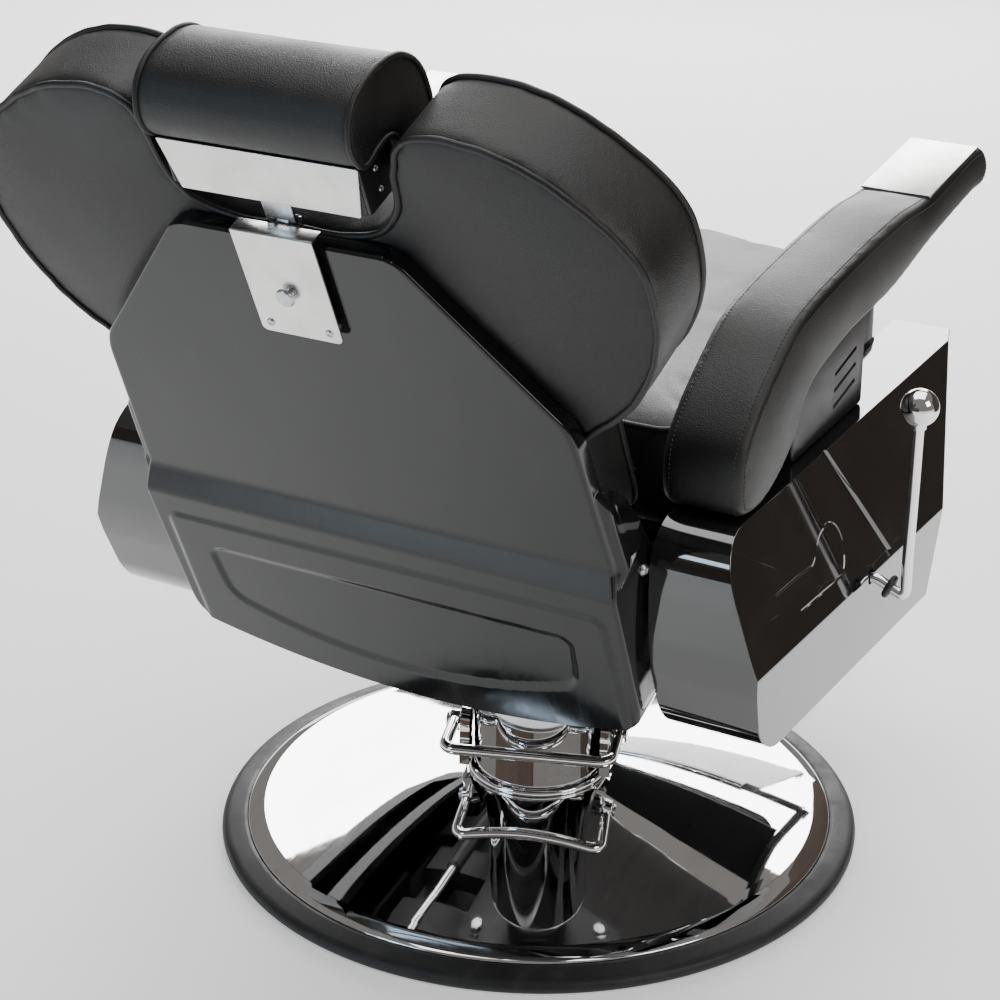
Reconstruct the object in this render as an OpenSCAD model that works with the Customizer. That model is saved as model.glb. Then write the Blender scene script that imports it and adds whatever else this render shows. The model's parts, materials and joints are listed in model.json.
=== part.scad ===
// Hydraulic barber chair.  Millimetres, +Z up, origin on the floor under the pump,
// the sitter faces -Y.  Each named node is one separate piece, or one set of
// identical fasteners.

/* [Base] */
// Diameter over the rubber trim ring
base_d = 710; // [690:5:730]
// Height of the flat top of the spun cover
dome_h = 66; // [60:1:70]
// Diameter of the chrome pump cover
cover_d = 143.4; // [141:0.2:146]
// Height of the top of the pump cover
cover_top = 300; // [290:1:305]

/* [Lift] */
// Radius of the lifting piston
piston_r = 35; // [32:0.5:38]
// Radius of the spigot that the seat turns on
spigot_r = 22; // [18:0.5:26]
// Running clearance on every shaft, on the radius
fit = 0.05; // [0.02:0.01:0.1]

/* [Pedal] */
// Angle of the pump on the base, about Z
pump_turn = 19.8; // [0:0.1:40]
// Reach from the pedal pivot to its cross bar
pedal_reach = 72; // [60:1:80]
// Half the width of the pedal, to the middle of its arms
pedal_half_w = 91.5; // [90:0.5:95]

/* [Seat] */
// Half the width of the seat cushion
seat_half_w = 258; // [240:1:260]
// Height of the top of the seat cushion
seat_top = 592; // [570:1:600]
// Where the front edge of the cushion reaches on the centre line
seat_front = -395; // [-400:1:-380]

/* [Back] */
// Lean of the back from the vertical at rest
lean = 23.34; // [15:0.01:28]
// Depth of the back cushion from its rear piping to its front
back_depth = 122; // [100:1:130]
// Half the width over the two lobes
lobe_half_w = 350; // [330:1:360]

/* [Armrests] */
// Middle of each armrest from the centre plane
arm_x = 301.5; // [300:0.5:303]
// Width of an armrest pad
arm_w = 86; // [76:1:88]

/* [Hidden] */
// Recline pivot in the world
pivot_y = 197;
pivot_z = 425;
pin_r = 8;
// Foot of the back plane in the world
back_y = 246.4;
back_z = 300;
// Recline pivot in the plane of the back: k rearwards, t up the back
pivot_k = (pivot_y - back_y) * cos(lean) - (pivot_z - back_z) * sin(lean);
pivot_t = (pivot_y - back_y) * sin(lean) + (pivot_z - back_z) * cos(lean);
// Cross rod that the recline strut pushes on, in the plane of the back
rod_t = pivot_t - 110;
rod_r = 7;
// Strut ends: front pivot in the world and its sideways place
strut_x = 150;
strut_y = -150;
strut_z = 330;
strut_end_y = pivot_y - 110 * sin(lean);
strut_end_z = pivot_z - 110 * cos(lean);
strut_len = norm([strut_end_y - strut_y, strut_end_z - strut_z]);
strut_tilt = atan2(strut_end_z - strut_z, strut_end_y - strut_y);
// Legrest and footrest pivots
leg_y = -365;
leg_z = 440;
leg_pin_r = 6;
foot_y = -445;
foot_z = 215;
foot_tube_r = 8;
// Lever axle
lever_y = 14;
lever_z = 392;
lever_r = 5.5;
// Pedal pivot in the pump's own turned frame
pedal_y = 12;
pedal_z = 118;
pedal_pin_r = 5;
pedal_rod_r = 6.5;
// Levels of the stack under the seat
plate_t = 12;
bearing_z = cover_top + 40;
socket_z = bearing_z + 6;
mount_z = socket_z + 32;
channel_z = mount_z + 8;
rail_z = channel_z + 38;
board_z = rail_z + 40;
cushion_z = board_z + 12.3;
base_r = base_d / 2;
cover_r = cover_d / 2;
trim_in = base_r - 29;
// Headrest: strap plane, tilt pin and travel
strap_k = -13;
strap_half_w = 15.5;
head_pin_k = -18.5;
head_pin_t = 553;
button_t = 492;
big = 800;
black_gloss = [0.06, 0.06, 0.07];
vinyl = [0.09, 0.09, 0.1];
chrome = [0.82, 0.83, 0.85];
steel = [0.6, 0.61, 0.63];
iron = [0.25, 0.25, 0.26];
rubber = [0.12, 0.12, 0.12];
ply = [0.72, 0.56, 0.36];

$fn = 64;

// ---------- helpers ----------

// A ring between two radii from z0 up by h
module ring(r_out, r_in, z0, h) {
    translate([0, 0, z0]) difference() {
        cylinder(r = r_out, h = h, $fn = 96);
        translate([0, 0, -1]) cylinder(r = r_in, h = h + 2, $fn = 96);
    }
}

// A box from its low to its high corner
module block(lo, hi) { translate(lo) cube(hi - lo); }

// Both sides: the child as drawn on +X, and its mirror
module both_sides() {
    children();
    mirror([1, 0, 0]) children();
}

// A rod along X from x0 to x1 at a (y, z) place
module x_rod(r, x0, x1, y, z) {
    translate([x0, y, z]) rotate([0, 90, 0]) cylinder(r = r, h = x1 - x0);
}

// An outline in (y, z) as a plate from x0 to x1
module side_plate(points, x0, x1) {
    translate([x0, 0, 0]) rotate([90, 0, 90]) linear_extrude(x1 - x0) polygon(points);
}

// The frame of the leaning back: x, k rearwards, t up the back
module on_back() { translate([0, back_y, back_z]) rotate([-lean, 0, 0]) children(); }

// An outline in (x, t) as a plate from k0 to k1, drawn in the frame of the back
module back_plate(points, k0, k1) {
    translate([0, k1, 0]) rotate([90, 0, 0]) linear_extrude(k1 - k0) polygon(points);
}

// A rod along k from k0 to k1 at an (x, t) place, in the frame of the back
module k_rod(r, x, t, k0, k1) {
    translate([x, k1, t]) rotate([90, 0, 0]) cylinder(r = r, h = k1 - k0);
}

function mirrored(half) = concat(half, [for (i = [len(half) - 1:-1:0]) [-half[i][0], half[i][1]]]);
function arc(cx, cy, r, a0, a1, n = 8) =
    [for (i = [0:n]) let (a = a0 + (a1 - a0) * i / n) [cx + r * cos(a), cy + r * sin(a)]];

// ---------- base and pump ----------

module base_trim_ring() color(rubber) rotate_extrude($fn = 180) polygon([
    [trim_in - 4, 0], [base_r - 1, 0], [base_r, 2], [base_r, 9], [base_r - 4, 13],
    [trim_in + 4, 18], [trim_in + 0.1, 18], [trim_in + 0.1, 13.5], [trim_in - 4, 13.5]]);

module base_dome() color(chrome) rotate_extrude($fn = 180) polygon([
    [60, dome_h], [cover_r + 10, dome_h], [trim_in - 20, 27], [trim_in - 0.1, 18.4],
    [trim_in - 0.1, 13.7], [trim_in - 3, 13.7], [trim_in - 3, 16.4], [trim_in - 21, 24],
    [cover_r + 10, dome_h - 3], [60, dome_h - 3]]);

module base_plate() color(iron) difference() {
    cylinder(r = trim_in - 4.1, h = plate_t, $fn = 180);
    for (a = [45:90:315]) rotate([0, 0, a]) translate([72, 0, -1]) cylinder(r = 6.05, h = plate_t + 2);
}

module pump_flange() color(iron) rotate([0, 0, pump_turn]) difference() {
    union() {
        translate([0, 0, plate_t]) cylinder(r = 88, h = 14, $fn = 96);
        translate([0, 60.2, plate_t]) cylinder(r = 9.5, h = 30);
    }
    translate([0, 0, plate_t - 1]) cylinder(r = 50.1, h = 60, $fn = 96);
    translate([0, 60.2, plate_t - 1]) cylinder(r = 6 + fit, h = 40);
    rotate([0, 0, -pump_turn]) for (a = [45:90:315]) rotate([0, 0, a])
        translate([72, 0, plate_t - 1]) cylinder(r = 6.05, h = 30);
}

module flange_bolts() color(steel) for (a = [45:90:315]) rotate([0, 0, a]) translate([72, 0, 0]) {
    translate([0, 0, 1]) cylinder(r = 6, h = plate_t + 13);
    translate([0, 0, plate_t + 14]) cylinder(r = 10, h = 7, $fn = 6);
}

module pump_cylinder() color(steel) difference() {
    translate([0, 0, plate_t]) cylinder(r = 50, h = cover_top - plate_t, $fn = 96);
    translate([0, 0, plate_t + 12]) cylinder(r = piston_r + fit, h = cover_top, $fn = 96);
}

module pump_cover() color(chrome) ring(cover_r, cover_r - 1.7, dome_h, cover_top - dome_h);

module pump_foot_ring() color(chrome)
    rotate_extrude($fn = 120) translate([cover_r + 4.15, dome_h + 4]) circle(r = 4, $fn = 24);

module pump_top_cap() color(chrome) ring(cover_r, 42.05, cover_top, 8);

module piston_seal() color(rubber) ring(42, piston_r + fit, cover_top, 12);

module pedal_brackets() color(chrome) rotate([0, 0, pump_turn]) both_sides() difference() {
    union() {
        block([73, -10, 74.2], [84, 34, 100]);
        block([73, -6, 100], [84, 30, 118]);
        x_rod(18, 73, 84, pedal_y, pedal_z);
    }
    x_rod(pedal_pin_r, 70, 90, pedal_y, pedal_z);
}

module pedal_pins() color(steel) rotate([0, 0, pump_turn]) both_sides() {
    x_rod(pedal_pin_r, 73, 98.5, pedal_y, pedal_z);
    x_rod(8.5, 98.5, 101, pedal_y, pedal_z);
}

// U-shaped rod with an eye at each end
module pedal_bar() color(chrome) rotate([0, 0, pump_turn]) {
    corner = 14;
    bar_y = pedal_y + pedal_reach;
    x_rod(pedal_rod_r, -(pedal_half_w - corner), pedal_half_w - corner, bar_y, pedal_z + 3);
    both_sides() {
        translate([pedal_half_w - corner, bar_y - corner, pedal_z + 3])
            rotate_extrude(angle = 90, $fn = 48) translate([corner, 0]) circle(r = pedal_rod_r, $fn = 32);
        translate([pedal_half_w, pedal_y + 9, pedal_z + 3]) rotate([-90, 0, 0])
            cylinder(r = pedal_rod_r, h = bar_y - corner - pedal_y - 9, $fn = 32);
        difference() {
            x_rod(12, 86, 97, pedal_y, pedal_z);
            x_rod(pedal_pin_r + fit, 80, 100, pedal_y, pedal_z);
        }
    }
}

module pump_plunger() color(steel) rotate([0, 0, pump_turn]) translate([0, 60.2, plate_t + 12]) {
    cylinder(r = 6, h = 34);
    translate([0, 0, 31]) cylinder(r = 8.5, h = 5);
}

module piston() color(chrome) {
    translate([0, 0, 60]) cylinder(r = piston_r, h = bearing_z - 60, $fn = 96);
    translate([0, 0, bearing_z]) cylinder(r = spigot_r, h = 30, $fn = 96);
}

module swivel_bearing() color(steel) ring(34, spigot_r + 0.1, bearing_z, 5.9);

// ---------- seat ----------

module seat_socket() color(iron) difference() {
    union() {
        translate([0, 0, socket_z]) cylinder(r = 45, h = 32, $fn = 96);
        block([-110, -62, mount_z], [110, 62, channel_z]);
    }
    translate([0, 0, socket_z - 1]) cylinder(r = spigot_r + fit, h = 60, $fn = 96);
    for (x = [-85, 85], y = [-43, 43]) translate([x, y, mount_z - 1]) cylinder(r = 5.05, h = 20);
}

module seat_bolts() color(steel) for (x = [-85, 85], y = [-43, 43]) translate([x, y, 0]) {
    translate([0, 0, mount_z - 6]) cylinder(r = 8.5, h = 5.9, $fn = 6);
    translate([0, 0, mount_z - 1]) cylinder(r = 5, h = 17);
}

// Rails, cross channels, hinge ears, arms for the side shells and the lever bracket
module seat_frame() color(iron) difference() {
    union() {
        for (y = [-62, 25]) difference() {
            block([-235, y, channel_z], [235, y + 37, rail_z]);
            block([-236, y + 3, channel_z + 3], [236, y + 34, rail_z - 3]);
        }
        both_sides() {
            difference() {
                block([200, -335, rail_z], [235, 160, board_z]);
                block([203, -336, rail_z + 3], [232, 161, board_z - 3]);
            }
            side_plate([[120, 462], [214, 462], [218, 446], [214, 406], [170, 406], [120, 426]], 227, 235);
            side_plate([[-320, 462], [-378, 458], [-382, 430], [-350, 425], [-320, 426]], 212, 220);
            for (y = [-160, 40]) block([235, y, 436], [300, y + 34, 442]);
        }
        // ears that carry the front of the strut
        for (x = [strut_x - 27, strut_x + 20])
            side_plate([[-62, 390], [-62, 420], [-168, 345], [-168, 315], [-132, 315]], x, x + 7);
        // boss that the lever axle turns in
        side_plate([[-8, 372], [36, 372], [36, 436], [-8, 436]], -243, -235);
        x_rod(13, -275, -243, lever_y, lever_z);
    }
    x_rod(pin_r, -250, 250, pivot_y, pivot_z);
    x_rod(leg_pin_r, -230, 230, leg_y, leg_z);
    x_rod(lever_r + fit, -300, -230, lever_y, lever_z);
    x_rod(6, strut_x - 40, strut_x + 40, strut_y, strut_z);
    for (x = [-85, 85], y = [-43, 43]) translate([x, y, channel_z - 1]) cylinder(r = 5.05, h = 12);
}

module seat_board() color(ply) block([-240, -350, board_z], [240, 170, board_z + 12]);

module seat_cushion() color(vinyl) {
    bow = 560;
    corner = arc(seat_half_w - 45, seat_front + 90, 45, -75, 0, 6);
    half = concat([for (x = [40:40:200]) [x, seat_front + bow - sqrt(bow * bow - x * x)]], corner,
        arc(seat_half_w - 20, 168, 20, 0, 90, 4));
    translate([0, 0, cushion_z]) linear_extrude(seat_top - cushion_z) polygon(mirrored(half));
}

// ---------- side shells ----------

// Corner balls of the faceted shell: [x, y, z] of each ball's centre
shell_ball = 14;
shell_corners = [
    [333, 258, 508], [333, -292, 533], [284, 258, 508], [284, -292, 533],
    [352, 266, 470], [367, 262, 390], [367, -172, 396], [331, -278, 470],
    [355, 236, 322], [359, 205, 301], [359, -226, 310],
    [284, 266, 450], [284, 236, 322], [284, 205, 301], [284, -226, 310], [284, -278, 470]];

module shell_form(r) hull() for (c = shell_corners) translate(c) sphere(r = r, $fn = 24);

// Closed outside; open towards the seat frame, and at the top where the arm bracket passes
module side_shell(lever_hole) color(black_gloss) difference() {
    shell_form(shell_ball);
    shell_form(shell_ball - 4);
    block([260, -200, 310], [282, 215, 490]);
    block([292, -64, 500], [308, 74, 560]);
    block([296, -190, 270], [345, 185, 310]);
    if (lever_hole) x_rod(8, 340, 400, lever_y, lever_z);
}

module side_shell_left() side_shell(false);
module side_shell_right() mirror([1, 0, 0]) side_shell(true);

// ---------- armrests ----------

// Underside of an armrest, and its whole side view, in (y, z)
arm_under = [[-327, 694], [-207, 672], [-109, 648], [0, 634], [60, 619.6]];
arm_rear_under = [[80, 613], [98, 600], [122, 566], [148, 545], [181, 529.5], [215, 525]];
arm_top = [[236, 531], [243, 556], [238, 590], [212, 622], [170, 655], [130, 680], [90, 692],
    [-20, 710], [-130, 721], [-199, 721], [-334, 741], [-354, 734], [-366, 712], [-357, 697]];
arm_rebate = [for (p = arm_under) p + [0, 8.2]];

module arm_pad() color(vinyl) difference() {
    side_plate(concat(arm_under, arm_rear_under, arm_top), arm_x - arm_w / 2, arm_x + arm_w / 2);
    side_plate(concat([for (p = arm_under) p - [0, 1]], [for (i = [4:-1:0]) arm_rebate[i]]), arm_x - 30.2, arm_x + 30.2);
    side_plate([[-198, 723], [-198, 718.8], [-334.9, 739], [-334.9, 745], [-260, 745]], arm_x - 38, arm_x + 38);
}

module arm_board() color(ply) side_plate(concat(arm_under, [for (i = [4:-1:0]) arm_under[i] + [0, 8]]), arm_x - 30, arm_x + 30);

module arm_plate() color(chrome)
    side_plate([[-200, 719.2], [-200, 721.6], [-334.4, 741.6], [-334.4, 739.2]], arm_x - 37.8, arm_x + 37.8);

module arm_bracket() color(iron) side_plate(
    [[-58, 442.2], [70, 442.2], [60, 619], [0, 633.5], [-58, 641]], arm_x - 4, arm_x + 4);

// Moulded cover round the bracket, with two slanting vents
module arm_cover() color(black_gloss) difference() {
    side_plate([[-74, 537.6], [96, 530], [96, 600], [78, 613], [60, 619], [0, 633.4], [-74, 643]], 286, 328);
    block([290, -70, 500], [324, 82, 606]);
    block([arm_x - 6, -64, 600], [arm_x + 6, 76, 660]);
    for (dz = [0, 20]) translate([320, -42, 590 - dz]) rotate([-14, 0, 0]) cube([12, 40, 5]);
}

module arm_pad_left() arm_pad();
module arm_pad_right() mirror([1, 0, 0]) arm_pad();
module arm_board_left() arm_board();
module arm_board_right() mirror([1, 0, 0]) arm_board();
module arm_plate_left() arm_plate();
module arm_plate_right() mirror([1, 0, 0]) arm_plate();
module arm_bracket_left() arm_bracket();
module arm_bracket_right() mirror([1, 0, 0]) arm_bracket();
module arm_cover_left() arm_cover();
module arm_cover_right() mirror([1, 0, 0]) arm_cover();

// ---------- recline ----------

module recline_pins() color(steel) both_sides() x_rod(pin_r, 222, 246.5, pivot_y, pivot_z);

module legrest_pins() color(steel) both_sides() x_rod(leg_pin_r, 201, 223, leg_y, leg_z);

// The frame of the strut: x across, y along it from its front pivot
module on_strut() translate([strut_x, strut_y, strut_z]) rotate([strut_tilt, 0, 0]) children();

module strut_cylinder() color(iron) on_strut() {
    difference() {
        union() {
            x_rod(14, -18, 18, 0, 0);
            translate([0, 8, 0]) rotate([-90, 0, 0]) cylinder(r = 13, h = 152);
        }
        translate([0, 60, 0]) rotate([-90, 0, 0]) cylinder(r = 7 + fit, h = 120);
        x_rod(6 + fit, -30, 30, 0, 0);
    }
    x_rod(6, -27.5, -18.5, 0, 0);
}

module strut_rod() color(chrome) on_strut() {
    translate([0, 130, 0]) rotate([-90, 0, 0]) cylinder(r = 7, h = strut_len - 18 - 130);
    difference() {
        x_rod(22, -8, 8, strut_len, 0);
        x_rod(16, -10, 10, strut_len, 0);
    }
}

// Axle, crank down and outwards, bend and upright
module recline_lever() color(chrome) {
    bend = [-420, lever_y - 1, lever_z - 13];
    crank = [-390, lever_y, lever_z];
    top = [-420, 8, 560];
    x_rod(lever_r, -390, -236, lever_y, lever_z);
    translate(crank) sphere(r = lever_r, $fn = 32);
    rod_between(crank, bend, lever_r);
    translate(bend) sphere(r = lever_r, $fn = 32);
    rod_between(bend, top, lever_r);
}

// A round rod from a to b
module rod_between(a, b, r) {
    d = b - a;
    translate(a) rotate([0, acos(d[2] / norm(d)), atan2(d[1], d[0])]) cylinder(r = r, h = norm(d));
}

module lever_knob() color(chrome) difference() {
    translate([-420, 8, 577]) sphere(r = 18.7, $fn = 96);
    translate([-420, 8, 550]) cylinder(r = lever_r + 0.6, h = 12);
}

module lever_ring() color(rubber)
    translate([-404, lever_y - 0.5, lever_z - 6]) rotate([0, -23.4, 0]) rotate([0, 90, 0])
        rotate_extrude($fn = 48) translate([9.3, 0]) circle(r = 3.4, $fn = 24);

// ---------- back ----------

// Outline of the upper panel of the shell, in (x, t), and the depth of the skirt
shell_half = [[116.7, 543], [252, 378], [261, 213.6]];
skirt_k = 17.5;
wall = 4;

module back_frame() color(iron) on_back() difference() {
    union() {
        both_sides() translate([236, 0, 0]) rotate([90, 0, 90]) linear_extrude(8) polygon([
            [pivot_k - 20, pivot_t + 16], [pivot_k - 20, pivot_t - 12], [pivot_k - 14, rod_t - 10],
            [pivot_k + 14, rod_t - 10], [pivot_k + 20, pivot_t - 20], [-30, 150], [-5.2, 170],
            [-5.2, 360], [-17.5, 360], [-17.5, 300], [-42, 280], [-42, 185]]);
        for (t = [190, 330]) block([-240, -17.5, t], [240, -11.2, t + 28]);
        x_rod(rod_r, -240, 240, pivot_k, rod_t);
    }
    x_rod(pin_r + fit, -260, 260, pivot_k, pivot_t);
}

module back_board() color(ply) on_back() difference() {
    back_plate(mirrored([[104, 530], [228, 380], [228, 60]]), -11, -5);
    block([-23, -12, 376], [23, 0, 545]);
}

// Tray with a proud lower skirt whose bottom edge bows down
module back_shell() color(black_gloss) on_back() difference() {
    union() {
        back_plate(mirrored(shell_half), -17.4, 0);
        hull() {
            block([-261, -17.4, 213], [261, 0, 213.6]);
            block([-265, -17.4, 186.4], [265, skirt_k, 187]);
        }
        back_plate(skirt_outline(0), -17.4, skirt_k);
        both_sides() side_wall();
    }
    back_plate(mirrored([[114.5, 539], [248, 376.5], [257, 213], [257, 150]]), -30, -wall);
    hull() {
        block([-257, -30, 209], [257, -wall, 210]);
        block([-261, -30, 184], [261, skirt_k - wall, 186]);
    }
    back_plate(skirt_outline(wall), -30, skirt_k - wall);
    k_rod(6, 0, button_t, -10, 10);
    both_sides() {
        k_rod(2.05, 31, 453, -10, 10);
        x_rod(2.55, 240, 270, -40, 177.6);
    }
    block([-24, -30, 530], [24, -8, 550]);
}

// Skirt outline, inset by d: straight sides and a bowed bottom
function skirt_outline(d) = let (r = 855, n = 12) concat(
    [[-265 + d, 187], [265 - d, 187]],
    [for (i = [0:n]) let (x = (260 - d) * (1 - 2 * i / n)) [x, d - 29 + r - sqrt(r * r - x * x)]]);

// Side wall of the tray, running forwards beside the hinge, in (k, t)
module side_wall() translate([256.5, 0, 0]) rotate([90, 0, 90]) linear_extrude(4) polygon(concat(
    [[skirt_k - 2, 187], [-2, 214], [-2, 300], [-17, 296]],
    [[-32, 286], [-48, 262], [-59, 225], [-62, 190], [-62, 60], [-44, 24], [-10, 10], [skirt_k - 2, 14]]));

// Two-lobed cushion with a notch for the headrest
cushion_half = concat(
    [[0, 547], [62, 547], [98, 560], [115, 582], [121, 610], [125, 634]],
    [[132, 651], [147, 662], [168, 667], [212, 664], [250, 651], [288, 628], [319, 600], [340, 574]],
    [[lobe_half_w - 2, 552], [lobe_half_w, 528], [lobe_half_w - 1, 502], [lobe_half_w - 8, 470]],
    [[328, 437], [304, 401], [272, 372], [248, 352], [234, 330], [231, 200], [226, 190]]);

module back_cushion() color(vinyl) on_back()
    back_plate(mirrored(cushion_half), -18 - back_depth, -18);

module back_screws() color(steel) on_back() {
    both_sides() {
        x_rod(5.5, 260.6, 263.2, -40, 177.6);
        x_rod(2.5, 246, 260.6, -40, 177.6);
        k_rod(3.8, 31, 453, 8.6, 10.8);
        k_rod(2, 31, 453, -4, 8.6);
    }
}

// Chrome plate over the socket: two stand-offs, folded top edge
module headrest_bracket() color(chrome) on_back() difference() {
    union() {
        block([-42.5, 6, 448], [42.5, 8.5, 556]);
        block([-36.5, 6, 442], [36.5, 8.5, 448]);
        for (x = [-36.5, 36.5]) k_rod(6, x, 448, 6, 8.5);
        block([-42.5, -8, 553.5], [42.5, 6, 556]);
        for (x = [-31, 31]) k_rod(6, x, 453, 0.1, 6);
    }
    k_rod(5.1, 0, button_t, 0, 12);
    for (x = [-31, 31]) k_rod(2.1, x, 453, -1, 12);
}

module headrest_socket() color(steel) on_back() difference() {
    block([-20, -17.5, 380], [20, -8.5, 538]);
    block([-strap_half_w - fit, -14.55, 370], [strap_half_w + fit, -11.45, 550]);
    k_rod(5.3, 0, button_t, -12, -5);
}

module headrest_button() color(chrome) on_back() {
    k_rod(5, 0, button_t, -6.5, 13);
    k_rod(9.5, 0, button_t, 13, 17);
}

// Ratchet strap and its knuckle
module headrest_post() color(chrome) on_back() difference() {
    union() {
        block([-strap_half_w, -14.5, 410], [strap_half_w, -11.5, 549]);
        x_rod(5, -7, 7, head_pin_k, head_pin_t);
        block([-7, -18, 540], [7, -14.4, 552]);
    }
    x_rod(2.5 + fit, -20, 20, head_pin_k, head_pin_t);
}

module headrest_leaf() color(chrome) on_back() difference() {
    union() {
        block([-strap_half_w, -14.5, 560], [strap_half_w, -11.5, 590]);
        both_sides() {
            x_rod(5, 7.3, strap_half_w, head_pin_k, head_pin_t);
            block([7.3, -18.5, 553], [strap_half_w, -11.5, 562]);
        }
    }
    x_rod(2.5, -20, 20, head_pin_k, head_pin_t);
}

module headrest_pin() color(steel) on_back() x_rod(2.5, -17, 17, head_pin_k, head_pin_t);

// Steel channel inside the headrest
module headrest_box() color(iron) on_back() difference() {
    block([-98, -56, 583], [98, -8.2, 631]);
    block([-99, -53, 586], [99, -11.4, 628]);
    block([-strap_half_w - 0.1, -14.6, 580], [strap_half_w + 0.1, -11, 590.2]);
}

module headrest_plate() color(chrome) on_back()
    back_plate([[-92, 581], [92, 581], [103, 633], [-103, 633]], -8, -5.5);

module headrest_end_caps() color(black_gloss) on_back() both_sides()
    block([98.2, -56, 583], [101.5, -8.2, 631]);

module headrest_cushion() color(vinyl) on_back() difference() {
    translate([-110, 0, 0]) rotate([90, 0, 90]) linear_extrude(220) polygon(concat(
        [[-57, 634], [-6, 634], [1, 645]], arc(-42, 656, 45, -10, 100, 8),
        [[-75, 699], [-96, 690], [-112, 672], [-120, 650], [-120, 606], [-112, 595], [-57, 595]]));
    block([-120, -57, 560], [120, 10, 633.5]);
}

module headrest_screws() color(steel) on_back() both_sides() for (t = [596, 617])
    x_rod(2.6, 101.6, 103.4, -30, t);

// ---------- legrest and footrest ----------

module legrest_frame() color(iron) difference() {
    union() {
        both_sides() {
            x_rod(12, 202.5, 210.5, leg_y, leg_z);
            side_plate([[-354, 440], [-376, 436], [-394, 300], [-456, 220], [-436, 206], [-372, 294]], 202.5, 210.5);
        }
        x_rod(foot_tube_r, -202.5, 202.5, foot_y, foot_z);
        block([-202.5, -389, 250], [202.5, -383, 420]);
    }
    x_rod(leg_pin_r + fit, -230, 230, leg_y, leg_z);
}

module legrest_pad() color(vinyl) block([-195, -429, 246], [195, -389.3, 424]);

module footrest_plate() color(chrome) difference() {
    union() {
        x_rod(foot_tube_r + 4, -120, 120, foot_y, foot_z);
        block([-140, -600, 203], [140, foot_y, 209]);
        block([-140, -600, 209], [140, -592, 219]);
    }
    x_rod(foot_tube_r + fit, -150, 150, foot_y, foot_z);
}

base_trim_ring();
base_dome();
base_plate();
pump_flange();
flange_bolts();
pump_cylinder();
pump_cover();
pump_foot_ring();
pump_top_cap();
piston_seal();
pedal_brackets();
pedal_pins();
pedal_bar();
pump_plunger();
piston();
swivel_bearing();
seat_socket();
seat_bolts();
seat_frame();
seat_board();
seat_cushion();
side_shell_left();
side_shell_right();
arm_bracket_left();
arm_bracket_right();
arm_cover_left();
arm_cover_right();
arm_board_left();
arm_board_right();
arm_pad_left();
arm_pad_right();
arm_plate_left();
arm_plate_right();
recline_pins();
legrest_pins();
strut_cylinder();
strut_rod();
recline_lever();
lever_knob();
lever_ring();
back_frame();
back_board();
back_shell();
back_cushion();
back_screws();
headrest_bracket();
headrest_socket();
headrest_button();
headrest_post();
headrest_leaf();
headrest_pin();
headrest_box();
headrest_plate();
headrest_end_caps();
headrest_cushion();
headrest_screws();
legrest_frame();
legrest_pad();
footrest_plate();
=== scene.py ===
"""Looks of a hydraulic barber chair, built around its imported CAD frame.

Everything is in metres in the CAD frame: +Z up, the sitter faces -Y, the origin is on the floor
under the pump.  Each sub-assembly is a class that holds its own sizes; each finish is a class
that makes one procedural material.
"""

from __future__ import annotations

import json
import logging
import math
from abc import ABC, abstractmethod
from dataclasses import dataclass
from enum import Enum
from typing import Callable, Iterable, Sequence

import bmesh
import bpy
from mathutils import Matrix, Vector
from mathutils.bvhtree import BVHTree
from mathutils.kdtree import KDTree

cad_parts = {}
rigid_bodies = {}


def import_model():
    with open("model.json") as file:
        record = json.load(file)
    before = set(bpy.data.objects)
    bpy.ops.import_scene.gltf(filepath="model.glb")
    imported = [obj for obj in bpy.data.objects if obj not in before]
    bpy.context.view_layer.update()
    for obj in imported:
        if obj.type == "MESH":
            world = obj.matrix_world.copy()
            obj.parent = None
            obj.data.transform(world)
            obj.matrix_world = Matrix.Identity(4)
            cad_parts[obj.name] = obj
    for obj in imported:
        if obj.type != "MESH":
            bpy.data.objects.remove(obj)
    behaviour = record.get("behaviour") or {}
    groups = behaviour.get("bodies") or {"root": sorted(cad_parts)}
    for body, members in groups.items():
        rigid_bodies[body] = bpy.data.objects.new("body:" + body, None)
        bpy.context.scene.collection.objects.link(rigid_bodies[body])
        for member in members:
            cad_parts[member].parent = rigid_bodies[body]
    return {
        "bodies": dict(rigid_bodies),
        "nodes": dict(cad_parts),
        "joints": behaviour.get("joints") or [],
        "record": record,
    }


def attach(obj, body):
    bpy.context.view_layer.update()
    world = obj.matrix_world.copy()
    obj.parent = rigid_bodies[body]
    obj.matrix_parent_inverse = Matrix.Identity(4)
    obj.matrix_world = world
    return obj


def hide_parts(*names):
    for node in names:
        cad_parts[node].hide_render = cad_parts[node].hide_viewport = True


log = logging.getLogger("barber_chair")

MM = 0.001
Point = Sequence[float]
Number = "float | Wire"


# ---------------------------------------------------------------------------- shader maths


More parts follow.
